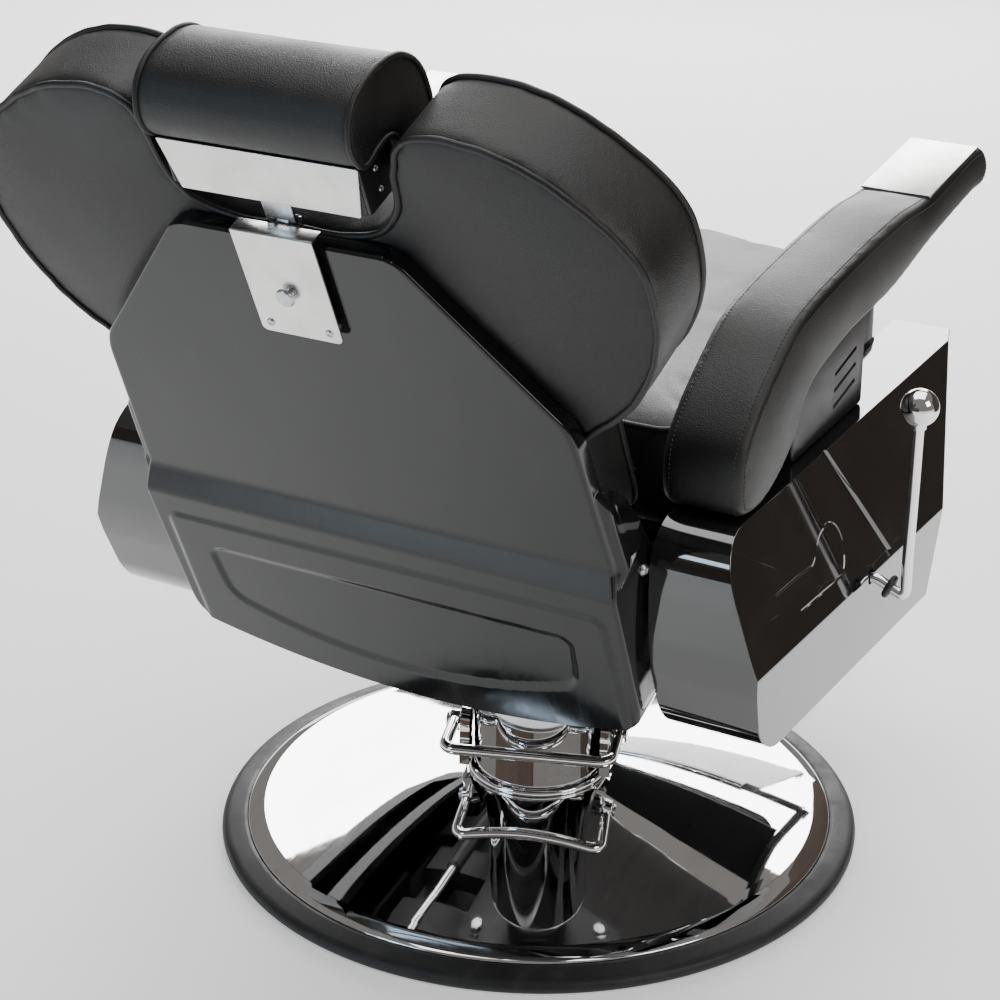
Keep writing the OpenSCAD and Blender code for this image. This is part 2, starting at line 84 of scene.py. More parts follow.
class Wire:
    """A shader socket that Python's own operators work on."""

    def __init__(self, graph: "Graph", socket: bpy.types.NodeSocket) -> None:
        """Wraps a socket of a graph."""
        self.graph = graph
        self.socket = socket

    def _math(self, operation: str, first: Number, second: Number) -> "Wire":
        """Adds one Math node and returns its result."""
        return self.graph.node("ShaderNodeMath", {"operation": operation}, {0: first, 1: second})

    def __add__(self, other: Number) -> "Wire":
        """Adds a number or a socket."""
        return self._math("ADD", self, other)

    def __radd__(self, other: Number) -> "Wire":
        """Adds to a number."""
        return self._math("ADD", other, self)

    def __sub__(self, other: Number) -> "Wire":
        """Takes a number or a socket away."""
        return self._math("SUBTRACT", self, other)

    def __rsub__(self, other: Number) -> "Wire":
        """Takes this away from a number."""
        return self._math("SUBTRACT", other, self)

    def __mul__(self, other: Number) -> "Wire":
        """Multiplies by a number or a socket."""
        return self._math("MULTIPLY", self, other)

    def __rmul__(self, other: Number) -> "Wire":
        """Multiplies a number."""
        return self._math("MULTIPLY", other, self)

    def smooth(self, low: float, high: float, start: float = 0.0, end: float = 1.0) -> "Wire":
        """Maps low..high to start..end with a soft step.

        Args:
            low: Input that gives start.
            high: Input that gives end.
            start: Result at low.
            end: Result at high.

        Returns:
            The mapped socket.
        """
        return self.graph.node(
            "ShaderNodeMapRange",
            {"interpolation_type": "SMOOTHSTEP"},
            {"Value": self, "From Min": low, "From Max": high, "To Min": start, "To Max": end},
        )


class Graph:
    """A node material while it is being wired."""

    def __init__(self, name: str) -> None:
        """Starts a material with a Principled shader.

        Args:
            name: Name of the material.
        """
        self.material = bpy.data.materials.new(name)
        self.material.use_nodes = True
        self.tree = self.material.node_tree
        self.shader = self.tree.nodes["Principled BSDF"]

    def node(self, kind: str, settings: dict | None = None, sockets: dict | None = None,
             output: int | str = 0) -> Wire:
        """Adds any node.

        Args:
            kind: The node's type.
            settings: Its properties, set before its inputs.
            sockets: Values or wires by input name or index.
            output: Which output to return.

        Returns:
            The chosen output.
        """
        made = self.tree.nodes.new(kind)
        for key, value in (settings or {}).items():
            setattr(made, key, value)
        for key, value in (sockets or {}).items():
            if isinstance(value, Wire):
                self.tree.links.new(value.socket, made.inputs[key])
            else:
                made.inputs[key].default_value = value
        return Wire(self, made.outputs[output])

    def place(self, scale: Point = (1, 1, 1), turn: Point = (0, 0, 0), shift: Point = (0, 0, 0)) -> Wire:
        """Object coordinates, scaled and turned."""
        source = self.node("ShaderNodeTexCoord", output="Object")
        return self.node("ShaderNodeMapping", {}, {"Vector": source, "Scale": scale, "Rotation": turn,
                                                   "Location": shift})

    def noise(self, scale: float, detail: float = 3.0, rough: float = 0.5, where: Wire | None = None) -> Wire:
        """A fractal noise value."""
        return self.node("ShaderNodeTexNoise", {},
                         {"Vector": where or self.place(), "Scale": scale, "Detail": detail,
                          "Roughness": rough})

    def cells(self, scale: float, feature: str = "F1", jitter: float = 1.0,
              where: Wire | None = None) -> Wire:
        """Distance to the nearest cell point or cell edge."""
        return self.node("ShaderNodeTexVoronoi", {"feature": feature},
                         {"Vector": where or self.place(), "Scale": scale, "Randomness": jitter})

    def blend(self, factor: Number, low: Point, high: Point) -> Wire:
        """Mixes two colours."""
        return self.node("ShaderNodeMix", {"data_type": "RGBA"}, {0: factor, 6: (*low, 1), 7: (*high, 1)}, 2)

    def bump(self, height: Number, distance: float, strength: float = 1.0, under: Wire | None = None) -> Wire:
        """A normal from a height in the given distance."""
        sockets = {"Height": height, "Distance": distance, "Strength": strength}
        if under:
            sockets["Normal"] = under
        return self.node("ShaderNodeBump", {}, sockets)

    def set(self, **inputs: Number | Point) -> None:
        """Sets or links inputs of the Principled shader; _ stands for a space."""
        for key, value in inputs.items():
            socket = self.shader.inputs[key.replace("_", " ")]
            if isinstance(value, Wire):
                self.tree.links.new(value.socket, socket)
            else:
                socket.default_value = value


# ---------------------------------------------------------------------------- finishes


class Finish(ABC):
    """A surface finish: a name, the record's slot, and how its material is made."""

    slot = ""
    _made: dict["Finish", bpy.types.Material] = {}

    @abstractmethod
    def wire(self, graph: Graph) -> None:
        """Fills the material's nodes."""

    def material(self) -> bpy.types.Material:
        """The material, made once.

        Returns:
            The finished Blender material.
        """
        if self not in Finish._made:
            graph = Graph(type(self).__name__)
            self.wire(graph)
            Finish._made[self] = graph.material
        return Finish._made[self]


@dataclass(frozen=True)
class PebbledVinyl(Finish):
    """Black upholstery vinyl with a fine pebble grain and a soft sheen."""

    slot = "black_vinyl"
    deep: tuple[float, float, float] = (0.0042, 0.0041, 0.0043)
    worn: tuple[float, float, float] = (0.0125, 0.0112, 0.0102)

    def wire(self, graph: Graph) -> None:
        """Pebbles, finer pores, stretch creases and patchy sheen."""
        pebble = graph.cells(820.0, "SMOOTH_F1", 0.9)
        pore = graph.noise(2600.0, 2.0, 0.6)
        crease = graph.noise(26.0, 4.0, 0.55, graph.place((1.0, 1.0, 0.55)))
        patch = graph.noise(9.0, 3.0, 0.5)
        grain = pebble * 0.75 + pore * 0.25
        fine = graph.bump(grain, 0.00045, 0.9)
        graph.set(
            Base_Color=graph.blend(patch.smooth(0.35, 0.7), self.deep, self.worn),
            Roughness=patch.smooth(0.3, 0.75, 0.36, 0.47) + pebble * 0.1,
            Normal=graph.bump(crease, 0.0016, 0.35, fine),
            Specular_IOR_Level=0.45, Sheen_Weight=0.03, Sheen_Roughness=0.35,
            Sheen_Tint=(0.85, 0.82, 0.8, 1.0),
        )


@dataclass(frozen=True)
class GlossPlastic(Finish):
    """Black moulded plastic with a deep gloss and light handling marks."""

    slot = "gloss_black_shell"
    colour: tuple[float, float, float] = (0.0065, 0.0068, 0.0072)
    polish: float = 0.05
    shine: float = 1.0
    coat: float = 0.8

    def wire(self, graph: Graph) -> None:
        """Slow moulding waves, wipe marks and hairline scratches."""
        wave = graph.noise(7.0, 2.0, 0.4)
        wipe = graph.noise(30.0, 5.0, 0.65, graph.place((1.0, 0.35, 0.35), (0.0, 0.0, 0.5)))
        hair = graph.cells(34.0, "DISTANCE_TO_EDGE", 1.0, graph.place((1.0, 0.12, 0.3), (0.2, 0.1, 0.7)))
        marks = hair.smooth(0.0, 0.006, 1.0, 0.0) * graph.noise(11.0, 2.0).smooth(0.52, 0.62)
        graph.set(
            Base_Color=graph.blend(wipe.smooth(0.45, 0.8), self.colour, (0.012, 0.012, 0.013)),
            Roughness=wipe.smooth(0.4, 0.85, self.polish, self.polish + 0.12) + marks * 0.2,
            Normal=graph.bump(wave, 0.004, 0.12),
            Specular_IOR_Level=self.shine, Coat_Weight=self.coat, Coat_Roughness=0.03,
        )


@dataclass(frozen=True)
class SatinPlastic(Finish):
    """Black moulded plastic with a fine satin texture."""

    slot = "gloss_black_shell"

    def wire(self, graph: Graph) -> None:
        """A fine spark texture with dusty patches."""
        spark = graph.noise(1500.0, 2.0, 0.6)
        dust = graph.noise(14.0, 4.0, 0.6)
        graph.set(
            Base_Color=graph.blend(dust.smooth(0.5, 0.8), (0.010, 0.010, 0.011), (0.018, 0.018, 0.018)),
            Roughness=dust.smooth(0.3, 0.8, 0.28, 0.42), Normal=graph.bump(spark, 0.0001, 0.5),
            Specular_IOR_Level=0.5,
        )


@dataclass(frozen=True)
class Chrome(Finish):
    """Mirror chrome plate with faint smears."""

    slot = "chrome"
    ripple: float = 0.1

    def wire(self, graph: Graph) -> None:
        """Slow ripples from spinning, and wiped fingerprints."""
        ripple = graph.noise(9.0, 2.0, 0.4)
        smear = graph.noise(22.0, 5.0, 0.7, graph.place((1.0, 0.4, 1.0), (0.0, 0.0, 0.6)))
        graph.set(
            Base_Color=graph.blend(smear.smooth(0.4, 0.8), (0.90, 0.90, 0.91), (0.80, 0.80, 0.79)),
            Metallic=1.0, Roughness=smear.smooth(0.45, 0.85, 0.025, 0.085),
            Normal=graph.bump(ripple, 0.0025, self.ripple),
        )


@dataclass(frozen=True)
class BrightStainless(Finish):
    """Finely brushed stainless plate."""

    slot = "bright_stainless"

    def wire(self, graph: Graph) -> None:
        """Long hairlines across the sitter's width."""
        line = graph.noise(1.0, 3.0, 0.6, graph.place((14.0, 1900.0, 1900.0)))
        stain = graph.noise(24.0, 3.0, 0.5)
        graph.set(
            Base_Color=graph.blend(stain.smooth(0.35, 0.75), (0.80, 0.79, 0.77), (0.70, 0.69, 0.67)),
            Metallic=1.0, Roughness=line * 0.16 + stain.smooth(0.3, 0.8, 0.15, 0.23),
            Normal=graph.bump(line, 0.00012, 0.4),
        )


@dataclass(frozen=True)
class MattRubber(Finish):
    """Moulded black rubber, a little dusty."""

    slot = "black_rubber"

    def wire(self, graph: Graph) -> None:
        """Moulding texture with scuffs that catch dust."""
        grit = graph.noise(1100.0, 3.0, 0.6)
        scuff = graph.noise(34.0, 5.0, 0.65)
        graph.set(
            Base_Color=graph.blend(scuff.smooth(0.45, 0.75), (0.016, 0.016, 0.017), (0.034, 0.033, 0.032)),
            Roughness=scuff.smooth(0.3, 0.8, 0.42, 0.62), Normal=graph.bump(grit, 0.00025, 0.5),
            Specular_IOR_Level=0.4,
        )


@dataclass(frozen=True)
class FramePaint(Finish):
    """Satin black paint on welded steel or on a casting."""

    slot = "black_frame_paint"
    cast: bool = False

    def wire(self, graph: Graph) -> None:
        """Orange peel, coarser on castings, with worn spots."""
        peel = graph.noise(240.0 if self.cast else 620.0, 3.0, 0.55)
        wear = graph.noise(48.0, 5.0, 0.7).smooth(0.62, 0.74)
        graph.set(
            Base_Color=graph.blend(wear, (0.014, 0.014, 0.015), (0.05, 0.05, 0.05)),
            Roughness=peel * 0.15 + 0.34, Normal=graph.bump(peel, 0.0006 if self.cast else 0.0002, 0.6),
        )


@dataclass(frozen=True)
class ZincSteel(Finish):
    """Zinc plated steel."""

    slot = "zinc_steel"

    def wire(self, graph: Graph) -> None:
        """Turned lines and a cloudy plate."""
        cloud = graph.noise(90.0, 4.0, 0.6)
        turned = graph.noise(1.0, 2.0, 0.5, graph.place((60.0, 60.0, 2400.0)))
        graph.set(
            Base_Color=graph.blend(cloud.smooth(0.3, 0.75), (0.62, 0.62, 0.63), (0.48, 0.48, 0.5)),
            Metallic=1.0, Roughness=cloud.smooth(0.3, 0.8, 0.22, 0.38),
                  Normal=graph.bump(turned, 0.0001, 0.4),
        )


@dataclass(frozen=True)
class Plywood(Finish):
    """Plywood under the upholstery, stained black."""

    slot = "plywood"

    def wire(self, graph: Graph) -> None:
        """Long face grain with darker figure."""
        grain = graph.noise(3.0, 6.0, 0.6, graph.place((30.0, 2.2, 30.0)))
        figure = graph.noise(6.0, 3.0, 0.5, graph.place((2.0, 0.5, 2.0)))
        graph.set(
            Base_Color=graph.blend(grain * 0.6 + figure * 0.4, (0.022, 0.019, 0.017), (0.012, 0.010, 0.009)),
            Roughness=grain.smooth(0.2, 0.8, 0.5, 0.7), Normal=graph.bump(grain, 0.0003, 0.5),
        )


@dataclass(frozen=True)
class Thread(Finish):
    """Black upholstery thread."""

    slot = "black_vinyl"

    def wire(self, graph: Graph) -> None:
        """Fine twist along the thread."""
        twist = graph.noise(3200.0, 2.0, 0.5)
        graph.set(
            Base_Color=graph.blend(twist, (0.007, 0.007, 0.007), (0.03, 0.029, 0.028)),
            Roughness=twist.smooth(0.2, 0.8, 0.4, 0.6), Normal=graph.bump(twist, 0.0002, 0.6),
        )


VINYL = PebbledVinyl()
GLOSS = GlossPlastic()
PANEL = GlossPlastic(polish=0.075, shine=0.5, coat=0.0)
SATIN = SatinPlastic()
CHROME = Chrome()
STAINLESS = BrightStainless()
RUBBER = MattRubber()
PAINT = FramePaint()
CASTING = FramePaint(cast=True)
ZINC = ZincSteel()
PLY = Plywood()
THREAD = Thread()


# ---------------------------------------------------------------------------- modelling kit


class Body(Enum):
    """Moving bodies of the chair."""

    BASE = "base"
    PEDAL = "pedal"
    PLUNGER = "plunger"
    LIFT = "lift"
    SEAT = "seat"
    STRUT = "strut"
    STRUT_PISTON = "strut_piston"
    LEVER = "lever"
    BACK = "back"
    BUTTON = "button"
    POST = "post"
    HEADREST = "headrest"
    LEGREST = "legrest"
    FOOTREST = "footrest"


class Plane(Enum):
    """Plane that an outline is drawn in, by the axis it is square to."""

    ACROSS_X = 0
    ACROSS_Y = 1
    ACROSS_Z = 2

    def point(self, u: float, v: float, level: float) -> Vector:
        """A point of the plane at a level."""
        return Vector([(level, u, v), (u, level, v), (u, v, level)][self.value])


WORLD = Matrix.Identity(4)
LEAN = math.radians(23.34)
BACK_FRAME = Matrix((
    (1.0, 0.0, 0.0, 0.0),
    (0.0, math.cos(LEAN), math.sin(LEAN), 246.4),
    (0.0, -math.sin(LEAN), math.cos(LEAN), 300.0),
    (0.0, 0.0, 0.0, 1.0),
))
PUMP_FRAME = Matrix.Rotation(math.radians(19.8), 4, "Z")


def lerp(table: Sequence[Point], at: float, column: int = 1) -> float:
    """Reads a table with rising first values.

    Args:
        table: Rows of numbers.
        at: Where to read it.
        column: Which number to return.

    Returns:
        The value between the two nearest rows.
    """
    if at <= table[0][0]:
        return table[0][column]
    for low, high in zip(table, table[1:]):
        if at <= high[0]:
            share = (at - low[0]) / (high[0] - low[0])
            return low[column] + share * (high[column] - low[column])
    return table[-1][column]


def soft_step(value: float, low: float, high: float) -> float:
    """A smooth step from 0 at low to 1 at high."""
    share = min(1.0, max(0.0, (value - low) / (high - low)))
    return share * share * (3.0 - 2.0 * share)


def smooth_path(points: Sequence[Point], step: float, closed: bool = False) -> list[Vector]:
    """Runs a smooth line through points.

    Args:
        points: Points to pass through.
        step: Spacing of the result, in the same unit.
        closed: Whether the line returns to its start.

    Returns:
        Evenly spread points along the line.
    """
    knots = [Vector(p) for p in points]
    count = len(knots)
    line: list[Vector] = []
    for i in range(count if closed else count - 1):
        before = knots[(i - 1) % count] if closed or i > 0 else 2 * knots[0] - knots[1]
        start, end = knots[i], knots[(i + 1) % count]
        after = knots[(i + 2) % count] if closed or i + 2 < count else 2 * knots[-1] - knots[-2]
        lead, span, trail = ((b - a).length ** 0.5 for a, b in ((before, start), (start, end), (end, after)))
        leave = ((start - before) / lead - (end - before) / (lead + span) + (end - start) / span) * span
        arrive = ((end - start) / span - (after - start) / (span + trail) + (after - end) / trail) * span
        parts = max(1, round((end - start).length / step))
        for j in range(parts):
            s = j / parts
            line.append(start * (2 * s ** 3 - 3 * s * s + 1) + leave * (s ** 3 - 2 * s * s + s)
                        + end * (3 * s * s - 2 * s ** 3) + arrive * (s ** 3 - s * s))
    return line if closed else line + [knots[-1]]


def placed(place: Point, turn: float, axis: str) -> Matrix:
    """A matrix that turns about a main axis, then moves to a place."""
    return Matrix.Translation(place) @ Matrix.Rotation(turn, 4, axis)


class Shape:
    """A mesh being modelled in millimetres with bmesh operators."""

    def __init__(self, frame: Matrix = WORLD) -> None:
        """Starts empty.

        Args:
            frame: Where the drawn coordinates lie in the world, in millimetres.
        """
        self.mesh = bmesh.new()
        self.frame = frame

    def outline(self, plane: Plane, points: Sequence[Point], level: float) -> bmesh.types.BMFace:
        """Draws one closed outline.

        Args:
            plane: Plane it lies in.
            points: Its corners (u, v), with an optional third number: how far a corner is cut round.
            level: Where the plane is.

        Returns:
            The face inside it.
        """
        old = set(self.mesh.faces)
        corners = [self.mesh.verts.new(plane.point(p[0], p[1], level)) for p in points]
        self.mesh.faces.new(corners)
        cuts: dict[float, list[bmesh.types.BMVert]] = {}
        for corner, point in zip(corners, points):
            if len(point) > 2:
                cuts.setdefault(point[2], []).append(corner)
        for cut, group in cuts.items():
            bmesh.ops.bevel(self.mesh, geom=group, offset=cut, offset_type="OFFSET", segments=6,
                            profile=0.5, affect="VERTICES", material=-1)
        return max((f for f in self.mesh.faces if f not in old), key=lambda f: f.calc_area())

    def plate(self, plane: Plane, points: Sequence[Point], low: float, high: float,
              edge: float = 0.0, segments: int = 3) -> "Shape":
        """Extrudes an outline to a solid.

        Args:
            plane: Plane of the outline.
            points: Corners, as for outline.
            low: Level it starts at.
            high: Level it ends at.
            edge: Rounding of its sharp edges.
            segments: Steps in that rounding.

        Returns:
            This shape.
        """
        old = set(self.mesh.edges)
        face = self.outline(plane, points, low)
        out = bmesh.ops.extrude_face_region(self.mesh, geom=[face])["geom"]
        moved = [g for g in out if isinstance(g, bmesh.types.BMVert)]
        bmesh.ops.translate(self.mesh, vec=plane.point(0, 0, high - low), verts=moved)
        if edge:
            self.soften(edge, segments, [e for e in self.mesh.edges if e not in old])
        return self

    def soften(self, width: float, segments: int = 3, edges: Iterable | None = None,
               angle: float = 32.0) -> "Shape":
        """Rounds edges that are sharper than an angle."""
        bmesh.ops.recalc_face_normals(self.mesh, faces=self.mesh.faces)
        chosen = [e for e in (edges or self.mesh.edges)
                  if len(e.link_faces) == 2 and e.calc_face_angle() > math.radians(angle)]
        bmesh.ops.bevel(self.mesh, geom=chosen, offset=width, offset_type="OFFSET", segments=segments,
                        profile=0.5, affect="EDGES", clamp_overlap=True, material=-1)
        return self

    def box(self, low: Point, high: Point, edge: float = 0.6) -> "Shape":
        """A block with rounded edges."""
        return self.plate(Plane.ACROSS_Z, [(low[0], low[1]), (high[0], low[1]), (high[0], high[1]),
                                           (low[0], high[1])], low[2], high[2], edge)

    def lathe(self, points: Sequence[Point], steps: int = 96, spot: Matrix = WORLD) -> "Shape":
        """Turns a profile about an axis.

        Args:
            points: Closed profile (radius, height), with optional corner cuts.
            steps: Steps in the full turn.
            spot: Matrix that takes the Z axis to the axis of the piece.

        Returns:
            This shape.
        """
        part = Shape()
        face = part.outline(Plane.ACROSS_Y, points, 0.0)
        bmesh.ops.delete(part.mesh, geom=[face], context="FACES_ONLY")
        axis_edges = [e for e in part.mesh.edges if all(abs(v.co.x) < 1e-6 for v in e.verts)]
        bmesh.ops.delete(part.mesh, geom=axis_edges, context="EDGES_FACES")
        bmesh.ops.spin(part.mesh, geom=list(part.mesh.verts) + list(part.mesh.edges), cent=(0, 0, 0),
                       axis=(0, 0, 1), angle=math.tau, steps=steps, use_merge=True)
        bmesh.ops.remove_doubles(part.mesh, verts=part.mesh.verts, dist=1e-4)
        return self.add(part, spot)

    def rod(self, start: Point, end: Point, radius: float, sides: int = 32, edge: float = 0.5) -> "Shape":
        """A round rod with softened ends."""
        a, b = Vector(start), Vector(end)
        length = (b - a).length
        spot = Matrix.Translation(a) @ (b - a).to_track_quat("Z", "Y").to_matrix().to_4x4()
        return self.lathe([(0, 0), (radius, 0, edge), (radius, length, edge), (0, length)], sides, spot)

    def tube(self, points: Sequence[Point], radius: float, closed: bool = False, sides: int = 3) -> "Shape":
        """A round bar that follows a line of points, closed at its ends."""
        before = len(self.mesh.verts)
        curve = bpy.data.curves.new("line", "CURVE")
        curve.dimensions = "3D"
        curve.bevel_depth = radius
        curve.bevel_resolution = sides
        curve.use_fill_caps = True
        spline = curve.splines.new("POLY")
        spline.points.add(len(points) - 1)
        for knot, point in zip(spline.points, points):
            knot.co = (*point, 1.0)
        spline.use_cyclic_u = closed
        holder = bpy.data.objects.new("line", curve)
        mesh = bpy.data.meshes.new_from_object(holder)
        self.mesh.from_mesh(mesh)
        self.mesh.verts.ensure_lookup_table()
        bmesh.ops.remove_doubles(self.mesh, verts=self.mesh.verts[before:], dist=1e-3)
        bpy.data.objects.remove(holder)
        bpy.data.curves.remove(curve)
        bpy.data.meshes.remove(mesh)
        return self

    def add(self, part: "Shape", spot: Matrix = WORLD) -> "Shape":
        """Takes in another shape, moved by a matrix."""
        bmesh.ops.transform(part.mesh, matrix=spot, verts=part.mesh.verts)
        mesh = bpy.data.meshes.new("part")
        part.mesh.to_mesh(mesh)
        part.mesh.free()
        self.mesh.from_mesh(mesh)
        bpy.data.meshes.remove(mesh)
        return self

    def mirrored(self, both: bool = True) -> "Shape":
        """Adds the mirror image across the middle of the chair, or keeps only that."""
        if both:
            bmesh.ops.duplicate(self.mesh, geom=list(self.mesh.verts) + list(self.mesh.edges)
                                + list(self.mesh.faces))
            self.mesh.verts.ensure_lookup_table()
            moved = self.mesh.verts[len(self.mesh.verts) // 2:]
        else:
            moved = self.mesh.verts
        bmesh.ops.scale(self.mesh, vec=(-1, 1, 1), verts=moved)
        bmesh.ops.recalc_face_normals(self.mesh, faces=self.mesh.faces)
        return self

    def to_object(self, name: str, recalc: bool = True) -> bpy.types.Object:
        """Places the mesh in the world in metres.

        Args:
            name: Name of the object.
            recalc: Whether its faces are turned outwards first.

        Returns:
            The new object, linked to the scene.
        """
        bmesh.ops.transform(self.mesh, matrix=Matrix.Scale(MM, 4) @ self.frame, verts=self.mesh.verts)
        if recalc:
            bmesh.ops.recalc_face_normals(self.mesh, faces=self.mesh.faces)
        mesh = bpy.data.meshes.new(name)
        self.mesh.to_mesh(mesh)
        self.mesh.free()
        made = bpy.data.objects.new(name, mesh)
        bpy.context.scene.collection.objects.link(made)
        return made


def baked(thing: bpy.types.Object) -> bpy.types.Mesh:
    """The object's mesh with its modifiers worked in."""
    graph = bpy.context.evaluated_depsgraph_get()
    return bpy.data.meshes.new_from_object(thing.evaluated_get(graph))


def apply_all(thing: bpy.types.Object) -> None:
    """Applies every modifier of an object."""
    mesh = baked(thing)
    thing.modifiers.clear()
    old, thing.data = thing.data, mesh
    bpy.data.meshes.remove(old)


def carve(thing: bpy.types.Object, cutters: Sequence[Shape]) -> None:
    """Cuts closed shapes out of an object."""
    tools = [cutter.to_object("cutter") for cutter in cutters]
    for tool in tools:
        cut = thing.modifiers.new("cut", "BOOLEAN")
        cut.operation = "DIFFERENCE"
        cut.solver = "MANIFOLD"
        cut.object = tool
    apply_all(thing)
    for tool in tools:
        bpy.data.objects.remove(tool)


def settle(thing: bpy.types.Object, body: Body, finish: Finish, nodes: Sequence[str] = (),
           sharp: float = 34.0) -> bpy.types.Object:
    """Dresses a piece and ties it to the frame.

    Args:
        thing: The piece.
        body: Body it moves with.
        finish: Its surface.
        nodes: CAD nodes that it stands for.
        sharp: Angle in degrees above which an edge stays crisp.

    Returns:
        The piece.
    """
    for face in thing.data.polygons:
        face.use_smooth = True
    thing.data.set_sharp_from_angle(angle=math.radians(sharp))
    thing.data.materials.clear()
    thing.data.materials.append(finish.material())
    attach(thing, body.value)
    if nodes:
        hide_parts(*nodes)
    log.info("%s: %d faces on %s", thing.name, len(thing.data.polygons), body.value)
    return thing


def piece(shape: Shape, name: str, body: Body, finish: Finish, *nodes: str,
          sharp: float = 34.0) -> bpy.types.Object:
    """Makes a finished piece from a shape; the arguments are those of settle."""
    return settle(shape.to_object(name), body, finish, nodes, sharp)


def paint_node(name: str, finish: Finish) -> None:
    """Gives a CAD node that is kept its finish."""
    node = frame["nodes"][name]
    if not node.data.materials:
        node.data.materials.append(finish.material())
    for slot in node.material_slots:
        slot.material = finish.material()


# ---------------------------------------------------------------------------- padding


@dataclass
class Padding:
    """How a cushion is stuffed: remeshed, blown up as cloth and held at its seams."""

    name: str
    voxel: float = 0.005
    pressure: float = 4.0
    cap: float = 0.018
    rounding: int = 6
    seams: Sequence[Vector] = ()
    hold: float = 7.0
    limit: Callable[[Vector, Vector], Vector] | None = None

    def stuff(self, shape: Shape) -> bpy.types.Object:
        """Makes the cushion.

        Args:
            shape: Its slightly smaller closed form.

        Returns:
            The cushion object, with nothing live on it.
        """
        to_frame = (Matrix.Scale(MM, 4) @ shape.frame).inverted()
        pad = shape.to_object(self.name)
        remesh = pad.modifiers.new("cells", "REMESH")
        remesh.mode = "VOXEL"
        remesh.voxel_size = self.voxel
        apply_all(pad)
        self._relax(pad)
        rest = [v.co.copy() for v in pad.data.vertices]
        pinned = self._pin(pad, to_frame)
        blown = self._simulate(pad)
        world = to_frame.inverted()
        for vertex, start, end, pin in zip(pad.data.vertices, rest, blown, pinned):
            shift = (end - start) * (1.0 - pin)
            if shift.length > self.cap:
                shift *= self.cap / shift.length
            place = start + shift
            if self.limit:
                place = world @ self.limit(to_frame @ place, to_frame @ start)
            vertex.co = place
        pad.data.update()
        return pad

    def _relax(self, pad: bpy.types.Object) -> None:
        """Rounds the stair steps of the cells."""
        work = bmesh.new()
        work.from_mesh(pad.data)
        for _ in range(self.rounding):
            bmesh.ops.smooth_vert(work, verts=work.verts, factor=0.5, use_axis_x=True, use_axis_y=True,
                                  use_axis_z=True)
        bmesh.ops.recalc_face_normals(work, faces=work.faces)
        work.to_mesh(pad.data)
        work.free()

    def _pin(self, pad: bpy.types.Object, to_frame: Matrix) -> list[float]:
        """Holds the cloth near its seams and returns how firmly at each vertex."""
        group = pad.vertex_groups.new(name="seam")
        tree = KDTree(max(1, len(self.seams)))
        for index, point in enumerate(self.seams or [Vector((0, 0, -1e6))]):
            tree.insert(point, index)
        tree.balance()
        firm = []
        for vertex in pad.data.vertices:
            distance = tree.find(to_frame @ vertex.co)[2]
            firm.append(1.0 - soft_step(distance, self.hold * 0.6, self.hold * 1.6))
            group.add([vertex.index], firm[-1], "REPLACE")
        return firm

    def _simulate(self, pad: bpy.types.Object) -> list[Vector]:
        """Blows the cloth up for twenty steps and returns where it goes."""
        cloth = pad.modifiers.new("cloth", "CLOTH")
        settings = cloth.settings
        settings.quality = 4
        settings.mass = 0.4
        settings.tension_stiffness = settings.compression_stiffness = 12
        settings.shear_stiffness = 8
        settings.bending_stiffness = 0.8
        settings.vertex_group_mass = "seam"
        settings.use_pressure = True
        settings.uniform_pressure_force = self.pressure
        settings.effector_weights.gravity = 0.0
        cloth.collision_settings.use_collision = False
        cloth.point_cache.frame_start = 1
        cloth.point_cache.frame_end = 20
        scene = bpy.context.scene
        for step in range(1, 21):
            scene.frame_set(step)
        mesh = baked(pad)
        ends = [v.co.copy() for v in mesh.vertices]
        bpy.data.meshes.remove(mesh)
        pad.modifiers.clear()
        scene.frame_set(1)
        return ends


def press(pad: bpy.types.Object, line: Sequence[Vector], depth: float, width: float) -> None:
    """Pulls a cushion in along a line.

    Args:
        pad: The cushion.
        line: Points of the line, in metres.
        depth: Deepest pull, in metres.
        width: Half the width of the valley, in metres.
    """
    tree = KDTree(len(line))
    for index, point in enumerate(line):
        tree.insert(point, index)
    tree.balance()
    shifts = []
    for vertex in pad.data.vertices:
        distance = tree.find(vertex.co)[2]
        pull = depth * math.exp(-(distance / width) ** 2)
        shifts.append(vertex.normal * -pull if distance < 3 * width else None)
    for vertex, shift in zip(pad.data.vertices, shifts):
        if shift:
            vertex.co += shift
    pad.data.update()


def upholster(pad: bpy.types.Object, body: Body, fill: float, *nodes: str) -> bpy.types.Object:
    """Finishes a cushion in vinyl with one smooth subdivision."""
    settle(pad, body, VINYL, nodes, 180.0)
    smooth = pad.modifiers.new("smooth", "SUBSURF")
    smooth.levels = smooth.render_levels = 1
    return pad


def skin_tree(pad: bpy.types.Object) -> BVHTree:
    """A search tree on a cushion's finished skin."""
    mesh = baked(pad)
    work = bmesh.new()
    work.from_mesh(mesh)
    tree = BVHTree.FromBMesh(work)
    work.free()
    bpy.data.meshes.remove(mesh)
    return tree


